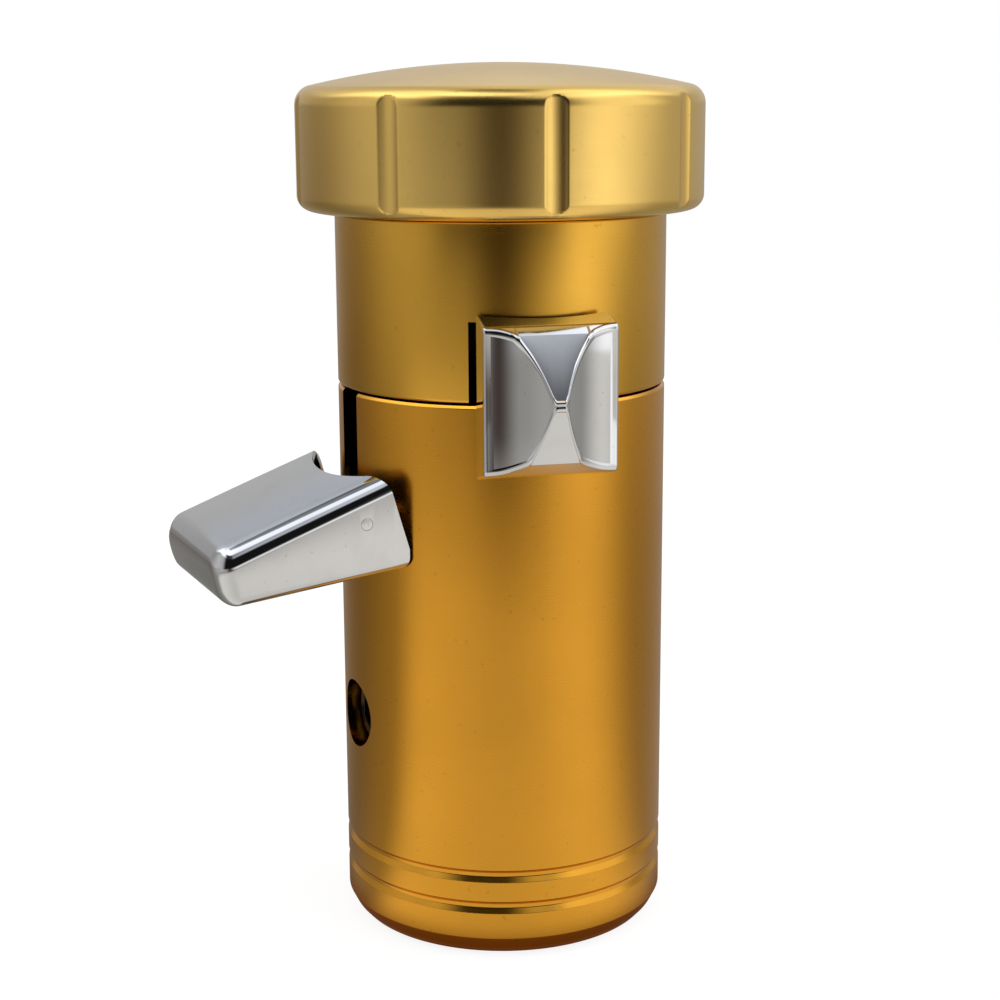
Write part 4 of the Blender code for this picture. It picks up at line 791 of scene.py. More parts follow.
def coil_tree():
    """Winds a round wire into a coil along Z."""
    tree, given = new_tree("wound_coil", ("Turns", "Radius", "Span", "Wire"))
    sockets = {"Resolution": 20, "Rotations": given["Turns"], "Height": given["Span"]}
    sockets.update({"Start Radius": given["Radius"], "End Radius": given["Radius"]})
    path = add(tree, "GeometryNodeCurveSpiral", sockets).outputs[0]
    sockets = {"Resolution": 20, "Radius": given["Wire"]}
    ring = add(tree, "GeometryNodeCurvePrimitiveCircle", sockets).outputs[0]
    wire = add(
        tree, "GeometryNodeCurveToMesh", {"Curve": path, "Profile Curve": ring, "Fill Caps": True}
    ).outputs[0]
    close_tree(tree, wire, given["Material"])
    return tree


# Pieces

def copy_round(piece, knob, turns, material):
    """Copies a piece round the hub's circle of holes, by turns in degrees from the range lever."""
    values = {
        "Count": len(turns),
        "Circle": knob.hub.hole_circle,
        "First turn": knob.range_lever.azimuth - math.pi / 2 + math.radians(turns[0]),
        "Step turn": math.radians(turns[1] - turns[0]),
        "Material": material,
    }
    make_plain(piece)
    run_tree(piece, ring_tree(), values)


def groove(top, settings):
    """Corners of one groove, from its top edge down."""
    radius = settings.radius
    floor = radius - settings.groove_depth
    low = top - settings.groove_width
    break_in = (radius - settings.groove_depth * 0.55, top - settings.groove_depth * 0.9)
    corners = [(radius, top), break_in, (floor, top - settings.groove_depth)]
    corners += [(floor, low + settings.groove_slope), (radius, low)]
    return corners


class KNOB_OT_barrels(bpy.types.Operator):
    """Turns both barrel halves and cuts their slots and window."""

    bl_idname = "knob.barrels"
    bl_label = "Barrels"

    def execute(self, context):
        knob = context.scene.knob
        self.lower(knob)
        self.upper(knob)
        return {"FINISHED"}

    def lower(self, knob):
        sizes = knob.barrel
        low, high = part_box("lower_barrel")
        ledge_top = high.z - sizes.ledge_drop
        ledge_low = ledge_top - sizes.ledge_height
        rim = high.z + sizes.rim_lift
        corners = [(sizes.bore, rim), (sizes.radius - sizes.rim_inset, rim)]
        corners.append((sizes.radius, rim - sizes.rim_fall))
        radii = [0.0002, 0.00012, 0.0002]
        for top in (sizes.upper_groove, sizes.lower_groove):
            corners += groove(top, sizes)
            radii += GROOVE_ROUNDS
        step = (sizes.radius - sizes.foot_inset, low.z + sizes.foot_step)
        corners += [(sizes.radius, low.z + sizes.foot_height), step, (sizes.foot_radius, low.z)]
        corners += [(sizes.bore, low.z), (sizes.bore, ledge_low)]
        radii += [0.00025, 0.0012, 0.0003, 0.0004, 0.0002]
        corners += [(sizes.ledge, ledge_low), (sizes.ledge, ledge_top), (sizes.bore, ledge_top)]
        radii += [0.0002, 0.0002, 0.0]
        piece = new_object("barrel_lower", lathe(rounded(corners, radii), BARREL_STEPS, closed=True))
        place = lever_matrix(knob.range_lever.azimuth)
        half = sizes.range_slot_half
        slot = block(
            (sizes.ledge - OVERSHOOT, -half, sizes.range_slot_floor),
            (sizes.radius + OVERSHOOT, half, high.z + OVERSHOOT),
        )
        carve(piece, slot, place)
        window = rod(sizes.window, 0.0, sizes.radius)
        carve(piece, window, place @ lying((sizes.ledge, 0.0, sizes.window_height), "X"))
        ease(piece, sizes.edge_round)
        settle(piece, finish_of("lower_gold"), FIXED, "barrel_gold", "lower_barrel")

    def upper(self, knob):
        sizes = knob.barrel
        low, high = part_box("upper_barrel")
        shoulder = high.z - sizes.neck_height
        seal_low, seal_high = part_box("cap_seal")
        seal_floor = sizes.neck - sizes.seal_depth
        seal_middle = (seal_low.z + seal_high.z) / 2
        web_top = shoulder + sizes.web_height
        corners = [(sizes.bore, high.z), (sizes.neck, high.z)]
        seal_top = seal_middle + sizes.seal_half
        seal_foot = seal_middle - sizes.seal_half
        corners += [(sizes.neck, seal_top), (seal_floor, seal_top)]
        corners += [(seal_floor, seal_foot), (sizes.neck, seal_foot)]
        corners += [(sizes.neck, shoulder), (sizes.radius, shoulder)]
        corners += [(sizes.radius, low.z), (sizes.bore, low.z)]
        corners += [(sizes.bore, shoulder), (sizes.web_hole, shoulder)]
        corners += [(sizes.web_hole, web_top), (sizes.bore, web_top)]
        radii = [0.0003, 0.0003, 0.0001, 0.0002, 0.0002, 0.0001, 0.0002, 0.0003]
        radii += [sizes.rim_round * 0.7, 0.0002, 0.0003, 0.0002, 0.0002, 0.0003]
        piece = new_object("barrel_upper", lathe(rounded(corners, radii), BARREL_STEPS, closed=True))
        half = sizes.splitter_slot_half
        slot = block(
            (sizes.ledge - OVERSHOOT / 2, -half, low.z - OVERSHOOT),
            (sizes.radius + OVERSHOOT, half, sizes.splitter_slot_top),
        )
        carve(piece, slot, lever_matrix(0.0))
        for node in ("tie_screw_1", "tie_screw_2"):
            first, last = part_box(node)
            middle = (first + last) / 2
            hole = rod(sizes.tie_hole, web_top - 2 * sizes.web_height, web_top + sizes.web_height)
            carve(piece, hole, Matrix.Translation((middle.x, middle.y, 0.0)))
        ease(piece, sizes.edge_round)
        settle(piece, finish_of("upper_gold"), FIXED, "barrel_gold", "upper_barrel")


class KNOB_OT_cap(bpy.types.Operator):
    """Turns the domed cap and presses its flutes."""

    bl_idname = "knob.cap"
    bl_label = "Cap"

    def turns(self, sizes):
        """Turns round the cap, close together across each flute."""
        pitch = 2 * math.pi / sizes.flute_count
        depth = sizes.flute_depth
        half = 1.4 * math.sqrt(depth * (2 * sizes.flute_radius - depth)) / sizes.radius
        found = []
        for flute in range(sizes.flute_count):
            first = sizes.flute_turn + flute * pitch
            found += [first - half + 2 * half * step / FLUTE_STEPS for step in range(FLUTE_STEPS)]
            land = pitch - 2 * half
            found += [first + half + land * step / LAND_STEPS for step in range(LAND_STEPS)]
        return found

    def execute(self, context):
        sizes = context.scene.knob.cap
        low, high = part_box("top_cap")
        side_top = low.z + sizes.side_height
        bend = sizes.shoulder_round
        edge = sizes.radius - bend + bend * math.cos(DOME_TANGENT)
        profile = []
        for step in range(DOME_STEPS):
            radius = edge * step / DOME_STEPS
            profile.append((radius, high.z - sizes.dome_rise * (radius / edge) ** 2))
        middle = (sizes.radius - bend, side_top - bend * math.sin(DOME_TANGENT))
        profile += arc(middle, bend, DOME_TANGENT, 0.0)
        outer, shoulder_low = profile[-1]
        foot_high = low.z + sizes.foot_round
        for step in range(1, SIDE_STEPS):
            profile.append((outer, shoulder_low + (foot_high - shoulder_low) * step / SIDE_STEPS))
        middle = (outer - sizes.foot_round, foot_high)
        profile += arc(middle, sizes.foot_round, 0.0, -math.pi / 2)
        ceiling = high.z - sizes.roof
        profile += [(sizes.bore + 0.0003, low.z), (sizes.bore, low.z + 0.0003)]
        profile += [(sizes.bore, ceiling), (0.0, ceiling)]
        piece = new_object("cap", lathe(profile, 0, turns=self.turns(sizes)))
        values = {
            "Count": float(sizes.flute_count),
            "First turn": sizes.flute_turn,
            "Radius": sizes.radius,
            "Hollow": sizes.flute_radius,
            "Depth": sizes.flute_depth,
            "Lip": sizes.flute_lip,
            "Material": finish_of("champagne_gold"),
        }
        run_tree(piece, flute_tree(), values)
        settle(piece, finish_of("champagne_gold"), FIXED, "cap_gold", "top_cap")
        return {"FINISHED"}


class KNOB_OT_range_lever(bpy.types.Operator):
    """Shapes the hollow chrome flip lever and its cross pin."""

    bl_idname = "knob.range_lever"
    bl_label = "Range lever"

    def drawn(self, past_end, round_off):
        """How far an edge is drawn in near the lever's end."""
        past = min(max(0.0, past_end + round_off), round_off)
        return round_off - math.sqrt(round_off ** 2 - past ** 2)

    def section(self, x, end, inset, sizes, radius):
        """One ring of the lever at a reach, drawn in by an inset."""
        out = x - radius
        over = max(sizes.end_top_round - inset, LEAST_ROUND)
        beside = max(sizes.end_side_round - inset, LEAST_ROUND)
        under = max(sizes.end_low_round - inset, LEAST_ROUND)
        top = sizes.pivot_z + sizes.top_rise - out * math.tan(sizes.top_droop) - inset
        top -= self.drawn(x - end, over)
        low = sizes.pivot_z - sizes.bottom_fall - out * math.tan(sizes.bottom_droop) + inset
        low += self.drawn(x - end, under)
        half = sizes.half_width - inset - self.drawn(x - end, beside)
        upper = max(sizes.top_round - inset, LEAST_ROUND)
        lower = max(sizes.bottom_round - inset, LEAST_ROUND)
        corners = [(-half, low), (half, low), (half, top), (-half, top)]
        ring = rounded(corners, [lower, lower, upper, upper], steps=10)
        middle = (top + low) / 2
        lean = sizes.end_lean * max(0.0, out) / (end - radius)
        points = []
        for point in ring:
            crown = max(0.0, 1.0 - (point.x / half) ** 2) * sizes.top_crown
            lift = crown if point.y > middle else 0.0
            points.append((x + (point.y - middle) * math.tan(lean), point.x, point.y + lift))
        return points

    def body(self, sizes, radius, inset, start):
        """The lever's solid outline, or its hollow."""
        slope = (math.tan(sizes.top_droop) + math.tan(sizes.bottom_droop)) / 2
        drop = (sizes.top_rise - sizes.bottom_fall) / 2 + sizes.end_fall
        lean = math.tan(sizes.end_lean)
        end = radius + (sizes.reach + drop * lean) / (1 + slope * lean) - inset
        curve = max(sizes.end_top_round, sizes.end_side_round, sizes.end_low_round)
        stations = [start + (end - curve - start) * step / LEVER_STEPS for step in range(LEVER_STEPS)]
        for step in range(BEND_STEPS + 1):
            stations.append(end - curve + curve * math.sin(math.pi / 2 * step / BEND_STEPS))
        return loft([self.section(x, end, inset, sizes, radius) for x in stations])

    def execute(self, context):
        knob = context.scene.knob
        sizes = knob.range_lever
        radius = knob.barrel.radius
        place = lever_matrix(sizes.azimuth)
        start = knob.barrel.ledge
        piece = new_object("flip_lever", self.body(sizes, radius, 0.0, start), place)
        carve(piece, self.body(sizes, radius, sizes.wall, start - OVERSHOOT / 2), place)
        root = radius + sizes.root_gap
        root_z = sizes.pivot_z - sizes.root_fall
        high = sizes.pivot_z + 2 * OVERSHOOT
        carve(piece, rod(root, 0.0, high, BARREL_STEPS))
        flare = (sizes.scallop_gap - sizes.scallop_low) / (sizes.scallop_rise + sizes.root_fall)
        low_radius = radius + sizes.scallop_low - sizes.scallop_centre
        room = [(0.0, high), (low_radius + flare * (high - root_z), high)]
        room += [(low_radius, root_z), (0.0, root_z)]
        spot = Matrix.Translation((sizes.scallop_centre, sizes.scallop_shift, 0.0))
        carve(piece, lathe(room, BARREL_STEPS), place @ spot)
        ease(piece, sizes.edge_round, LEVER_EASE_ANGLE)
        across = place @ lying((sizes.pin_x, 0.0, sizes.pin_z), "Y")
        reach = sizes.half_width + OVERSHOOT
        carve(piece, rod(sizes.pin_radius + sizes.pin_gap, -reach, reach, PIN_STEPS), across)
        settle(piece, finish_of("lever_plate"), RANGE_SET, "lever_chrome", "range_lever")
        tip = sizes.half_width - sizes.pin_sink
        corners = [(0.0, tip), (sizes.pin_radius, tip), (sizes.pin_radius, -tip), (0.0, -tip)]
        profile = rounded(corners, [0.0, sizes.pin_gap, sizes.pin_gap, 0.0], closed=False)
        pin = new_object("flip_lever_pin", lathe(profile, PIN_STEPS), across)
        settle(pin, finish_of("chrome_plate"), RANGE_SET, "plain_steel", "range_lever_pin")
        return {"FINISHED"}


class KNOB_OT_beak(bpy.types.Operator):
    """Shapes the chrome splitter beak with its two thumb coves."""

    bl_idname = "knob.beak"
    bl_label = "Splitter beak"

    def reach_at(self, across, sizes):
        """How far out the beak goes at a place across it."""
        limit = sizes.nose_x
        middle = sizes.cove_floor + sizes.cove_radius
        blend = sizes.edge_round
        for side in (-1.0, 1.0):
            off = across - side * sizes.cove_offset
            inside = sizes.cove_radius ** 2 - off ** 2
            if inside <= 0.0:
                continue
            face = middle - math.sqrt(inside)
            mix = max(blend - abs(limit - face), 0.0) / blend
            limit = min(limit, face) - mix * mix * blend * 0.25
        return limit

    def outline(self, sizes, face):
        """Half the beak's side outline, from behind its back to the nose."""
        start = sizes.back_radius - OVERSHOOT
        roof_half = sizes.back_half - (sizes.roof_x - sizes.back_radius) * sizes.roof_slope
        corners = [(start, sizes.back_half + OVERSHOOT * sizes.roof_slope), (sizes.roof_x, roof_half)]
        corners += [face, (sizes.nose_x, sizes.nose_half)]
        return rounded(corners, [0.0, sizes.roof_round, sizes.face_round, 0.0], closed=False)

    def height(self, x, outline):
        """Half the beak's height at a reach."""
        for first, last in zip(outline, outline[1:]):
            if x <= last.x:
                break
        return first.y + (last.y - first.y) * (x - first.x) / (last.x - first.x)

    def half_ring(self, back, limit, inset, sizes, outline):
        """Points from the back out to a cove's face, over a bevelled rim."""
        rim = sizes.rim_width
        front = self.height(limit, outline)
        lead = min(rim, (limit - back) / 2)
        lead *= min(1.0, rim / math.hypot(lead, self.height(limit - lead, outline) - front))
        reaches = [back] + [min(max(point.x, back), limit - lead) for point in outline[1:-1]]
        points = [(x, self.height(x, outline) - inset) for x in reaches + [limit - lead]]
        start = Vector(points[-1])
        chord = Vector((limit, max(front - rim, front * 0.4) - inset)) - start
        for step in range(1, RIM_STEPS + 1):
            along = step / RIM_STEPS
            bulge = Vector((-chord.y, chord.x)) * (along * (1.0 - along) * sizes.rim_bulge)
            points.append(tuple(start + chord * along + bulge))
        return points

    def section(self, across, sizes, inset):
        """One upright ring of the beak."""
        back = math.sqrt(sizes.back_radius ** 2 - across ** 2)
        limit = self.reach_at(across, sizes) - inset
        upper, lower = (
            self.half_ring(back, limit, inset, sizes, self.outline(sizes, face))
            for face in ((sizes.brow_x, sizes.brow_half), (sizes.chin_x, sizes.chin_half))
        )
        ring = upper + [(x, -half) for x, half in reversed(lower)]
        return [(x, across, sizes.nose_z + half) for x, half in ring]

    def execute(self, context):
        sizes = context.scene.knob.beak
        edge = sizes.edge_round
        flat = sizes.half_width - edge
        rings = []
        for step in range(EDGE_STEPS):
            angle = math.pi / 2 * step / EDGE_STEPS
            inset = edge * (1 - math.sin(angle))
            rings.append(self.section(-flat - edge * math.cos(angle), sizes, inset))
        for step in range(BEAK_STEPS + 1):
            rings.append(self.section(-flat + 2 * flat * step / BEAK_STEPS, sizes, 0.0))
        for step in range(1, EDGE_STEPS + 1):
            angle = math.pi / 2 * (1 - step / EDGE_STEPS)
            inset = edge * (1 - math.sin(angle))
            rings.append(self.section(flat + edge * math.cos(angle), sizes, inset))
        place = lever_matrix(0.0) @ Matrix.Translation((0.0, sizes.shift, 0.0))
        shape = loft(rings)
        bmesh.ops.remove_doubles(shape, verts=shape.verts, dist=1e-7)
        piece = new_object("splitter_beak", shape, place)
        first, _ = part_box("splitter_arm")
        neck_middle = first.z + sizes.tenon_rise
        pocket = block(
            (sizes.back_radius - OVERSHOOT, -sizes.tenon_half_width, neck_middle - sizes.tenon_half_height),
            (sizes.tenon_end, sizes.tenon_half_width, neck_middle + sizes.tenon_half_height),
        )
        carve(piece, pocket, place)
        plate = finish_of("chrome_plate")
        settle(piece, plate, SPLITTER_SET, "lever_chrome", "splitter_lever", sharp=BEAK_SHARP)
        return {"FINISHED"}


class KNOB_OT_hub(bpy.types.Operator):
    """Makes the mounting hub, its screws and the set screw."""

    bl_idname = "knob.hub"
    bl_label = "Hub and screws"

    def execute(self, context):
        knob = context.scene.knob
        sizes = knob.hub
        low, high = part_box("mount_hub")
        ceiling = low.z + sizes.bore_depth
        corners = [(0.0, high.z), (sizes.radius, high.z), (sizes.radius, low.z), (sizes.bore, low.z)]
        corners += [(sizes.bore, ceiling), (0.0, ceiling + sizes.bore * 0.02)]
        profile = rounded(corners, [0.0, 0.0004, 0.0005, 0.0006, 0.0003, 0.0], closed=False)
        piece = new_object("hub", lathe(profile, 160))
        place = lever_matrix(knob.range_lever.azimuth)
        for degrees in AIR_TURNS:
            hole = rod(sizes.air_hole, low.z - OVERSHOOT, high.z + OVERSHOOT)
            carve(piece, hole, place @ self.spot(sizes, degrees))
        seat = high.z - sizes.screw_seat
        for degrees in SCREW_TURNS:
            shank = rod(sizes.screw_radius + sizes.gap, seat - sizes.gap, high.z + OVERSHOOT)
            carve(piece, shank, place @ self.spot(sizes, degrees))
            pocket = rod(sizes.screw_head + sizes.gap, low.z - OVERSHOOT, seat)
            carve(piece, pocket, place @ self.spot(sizes, degrees))
        window = knob.barrel.window_height
        tap = rod(sizes.set_radius + sizes.gap, 0.0, sizes.radius)
        carve(piece, tap, place @ lying((sizes.bore / 2, 0.0, window), "X"))
        ease(piece, sizes.edge_round)
        settle(piece, finish_of("hub_alloy_turned"), FIXED, "hub_alloy", "mount_hub")
        self.screws(knob, sizes)
        self.set_screw(knob, sizes, window)
        return {"FINISHED"}

    def spot(self, sizes, degrees):
        angle = math.radians(degrees)
        return Matrix.Translation(
            (sizes.hole_circle * math.cos(angle), sizes.hole_circle * math.sin(angle), 0.0)
        )

    def screws(self, knob, sizes):
        first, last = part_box("hub_screw_1")
        neck = first.z + sizes.screw_head_height
        corners = [(0.0, last.z), (sizes.screw_radius, last.z), (sizes.screw_radius, neck)]
        corners += [(sizes.screw_head, neck), (sizes.screw_head, first.z), (0.0, first.z)]
        profile = rounded(corners, [0.0, 0.0003, 0.0001, 0.0002, 0.0004, 0.0], closed=False)
        piece = new_object("hub_screws", lathe(profile, SMALL_STEPS))
        carve(piece, hexagon(sizes.screw_hex, first.z - OVERSHOOT, first.z + sizes.screw_head_height * 0.6))
        ease(piece, sizes.screw_edge)
        copy_round(piece, knob, SCREW_TURNS, finish_of("black_oxide"))
        settle(piece, finish_of("black_oxide"), FIXED, "blackened_steel", "hub_screw_1", "hub_screw_2")

    def set_screw(self, knob, sizes, height):
        corners = [(0.0, sizes.set_length), (sizes.set_radius, sizes.set_length)]
        corners += [(sizes.set_radius, 0.0), (0.0, 0.0)]
        profile = rounded(corners, [0.0, 0.0006, 0.0008, 0.0], closed=False)
        place = lever_matrix(knob.range_lever.azimuth) @ lying(
            (sizes.set_face - sizes.set_length, 0.0, height), "X"
        )
        piece = new_object("grub_screw", lathe(profile, SMALL_STEPS), place)
        key = hexagon(sizes.set_hex, sizes.set_length / 2, sizes.set_length + OVERSHOOT)
        carve(piece, key, place)
        ease(piece, sizes.set_edge)
        settle(piece, finish_of("black_oxide"), FIXED, "blackened_steel", "set_screw")


class KNOB_OT_fittings(bpy.types.Operator):
    """Makes the brass hose tails under the range valve."""

    bl_idname = "knob.fittings"
    bl_label = "Hose tails"

    def execute(self, context):
        knob = context.scene.knob
        sizes = knob.hub
        low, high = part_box("air_fitting_1")
        hex_top = high.z - sizes.thread_length - sizes.gap
        hex_low = hex_top - sizes.fitting_hex_height
        corners = [(0.0, high.z), (sizes.thread_radius, high.z)]
        corners += [(sizes.thread_radius, hex_low + sizes.fitting_hex_height / 2)]
        corners += [(sizes.tail_radius, hex_low + sizes.fitting_hex_height / 2)]
        radii = [0.0, 0.0003, 0.0, 0.0]
        for barb in range(sizes.barb_count):
            top = low.z + sizes.barb_length + sizes.barb_pitch * (sizes.barb_count - 1 - barb)
            corners += [(sizes.tail_radius, top), (sizes.barb_radius, top - 0.0001)]
            corners += [(sizes.tail_radius, top - sizes.barb_length)]
            radii += [0.0001, 0.00015, 0.0001]
        air_top = low.z + sizes.barb_pitch
        corners += [(sizes.tail_hole, low.z), (sizes.tail_hole, air_top), (0.0, air_top)]
        radii += [0.0001, 0.0, 0.0]
        piece = new_object("hose_tails", lathe(rounded(corners, radii, closed=False), 48))
        carve(piece, hexagon(sizes.fitting_hex, hex_low, hex_top), operation="UNION")
        ease(piece, sizes.fitting_edge)
        copy_round(piece, knob, AIR_TURNS, finish_of("brass_turned"))
        nodes = ("air_fitting_1", "air_fitting_2", "air_fitting_3")
        settle(piece, finish_of("brass_turned"), FIXED, "fitting_brass", *nodes)
        return {"FINISHED"}


class KNOB_OT_springs(bpy.types.Operator):
    """Winds the two detent springs."""

    bl_idname = "knob.springs"
    bl_label = "Detent springs"

    def execute(self, context):
        knob = context.scene.knob
        sizes = knob.spring
        inward = lever_matrix(knob.range_lever.azimuth) @ Matrix.Rotation(-math.pi / 2, 4, "Y")
        sideways = lever_matrix(0.0) @ Matrix.Rotation(-math.pi / 2, 4, "X")
        tree = coil_tree()
        for name, heading in (("range", inward), ("splitter", sideways)):
            node = f"{name}_detent_spring"
            low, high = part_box(node)
            piece = new_object(f"{name}_coil", bmesh.new())
            span = sizes.span - 2 * sizes.wire
            values = {
                "Turns": float(sizes.turns),
                "Radius": sizes.radius,
                "Span": span,
                "Wire": sizes.wire,
                "Material": finish_of("spring_wire"),
            }
            run_tree(piece, tree, values)
            middle = Matrix.Translation((low + high) / 2)
            piece.data.transform(middle @ heading @ Matrix.Translation((0.0, 0.0, -span / 2)))
            settle(piece, finish_of("spring_wire"), FIXED, "spring_steel", node)
        return {"FINISHED"}


class KNOB_OT_inner_works(bpy.types.Operator):
    """Gives the pieces inside the barrel their finishes."""

    bl_idname = "knob.inner_works"
    bl_label = "Inner works"

    def execute(self, context):
        finishes = {
            "cap_seal": "seal_nitrile",
            "range_arm": "arm_steel",
            "splitter_arm": "arm_steel",
            "range_spool": "pin_steel",
            "splitter_spool": "pin_steel",
            "range_pivot_pin": "pin_steel",
            "splitter_pivot_pin": "pin_steel",
            "range_detent_ball": "pin_steel",
            "splitter_detent_ball": "pin_steel",
            "range_detent_plug": "black_oxide",
            "splitter_detent_plug": "black_oxide",
            "tie_screw_1": "black_oxide",
            "tie_screw_2": "black_oxide",
            "splitter_spool_clip": "spring_wire",
            "range_valve_body": "black_acetal",
            "splitter_valve_body": "black_acetal",
        }
        for node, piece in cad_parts.items():
            if "_spool_seal_" in node:
                finishes[node] = "seal_nitrile"
            if node not in finishes:
                continue
            piece.data.materials.clear()
            piece.data.materials.append(finish_of(finishes[node]))
        return {"FINISHED"}


# Soft panels round the knob: turn in degrees from the camera's side, right positive, and level
# NEAR_FLOOR and FAR_FLOOR are painted light: the glow of the floor that the metal mirrors, near the knob and
# farther out.
NEAR_FLOOR = (
    (-180, 0.38), (-115, 0.20), (-78, 0.33), (-55, 0.95), (0, 0.78), (52, 1.00), (104, 0.33), (180, 0.38),
)
FAR_FLOOR = (
    (-180, 0.40), (-120, 0.20), (-65, 0.50), (-30, 0.40), (0, 0.08), (60, 0.90), (100, 0.40), (180, 0.40),
)
HORIZON = (
    (-180, 0.40), (-120, 0.25), (-62, 0.58), (-28, 0.50), (0, 0.07), (55, 1.45), (100, 0.50), (180, 0.40),
)
WALLS = (
    (-180, 0.60), (-115, 0.40), (-80, 0.70), (-60, 0.60), (-32, 0.01), (35, 0.01), (56, 1.20), (90, 1.15),
    (110, 0.45), (180, 0.60),
)
CEILING = (
    (-180, 0.85), (-160, 0.60), (-130, 0.75), (-100, 2.00), (-70, 2.00), (-30, 0.05), (2, 0.05), (30, 0.90),
    (70, 2.00), (105, 2.00), (130, 0.85), (180, 0.85),
)
CROWN = (
    (-180, 0.85), (-160, 0.60), (-130, 0.75), (-100, 1.40), (-40, 2.20), (10, 1.50), (40, 1.00), (105, 1.80),
    (130, 0.85), (180, 0.85),
)
WARM = (1.0, 0.97, 0.90)
PLAIN = (1.0, 1.0, 1.0)
COOL = (0.94, 0.985, 1.06)
DUSK = (1.0, 0.72, 0.65)
DIM_LEVEL = 0.35

# Where one ring of panels gives way to the next, by the height of a direction
WALLS_FROM = (-0.03, 0.06)
CEILING_FROM = (0.58, 0.70)
CROWN_FROM = (0.79, 0.86)
ZENITH_FROM = (0.955, 0.985)
ZENITH_LEVEL = 0.15
BACK_LIFT = 0.27

# The floor, by the distance from the knob's axis
TOUCH_ZONE = (0.022, 0.034)
# Painted shadow: the mirrored floor darkens to this colour near the knob's foot.
TOUCH_SHADE = (0.15, 0.075, 0.04, 1.0)
FAR_ZONE = (0.20, 0.44)
FLOOR_WHITE = 1.17
FLOOR_WHITE_SHARE = 0.75
FLOOR_GAP = 0.0002


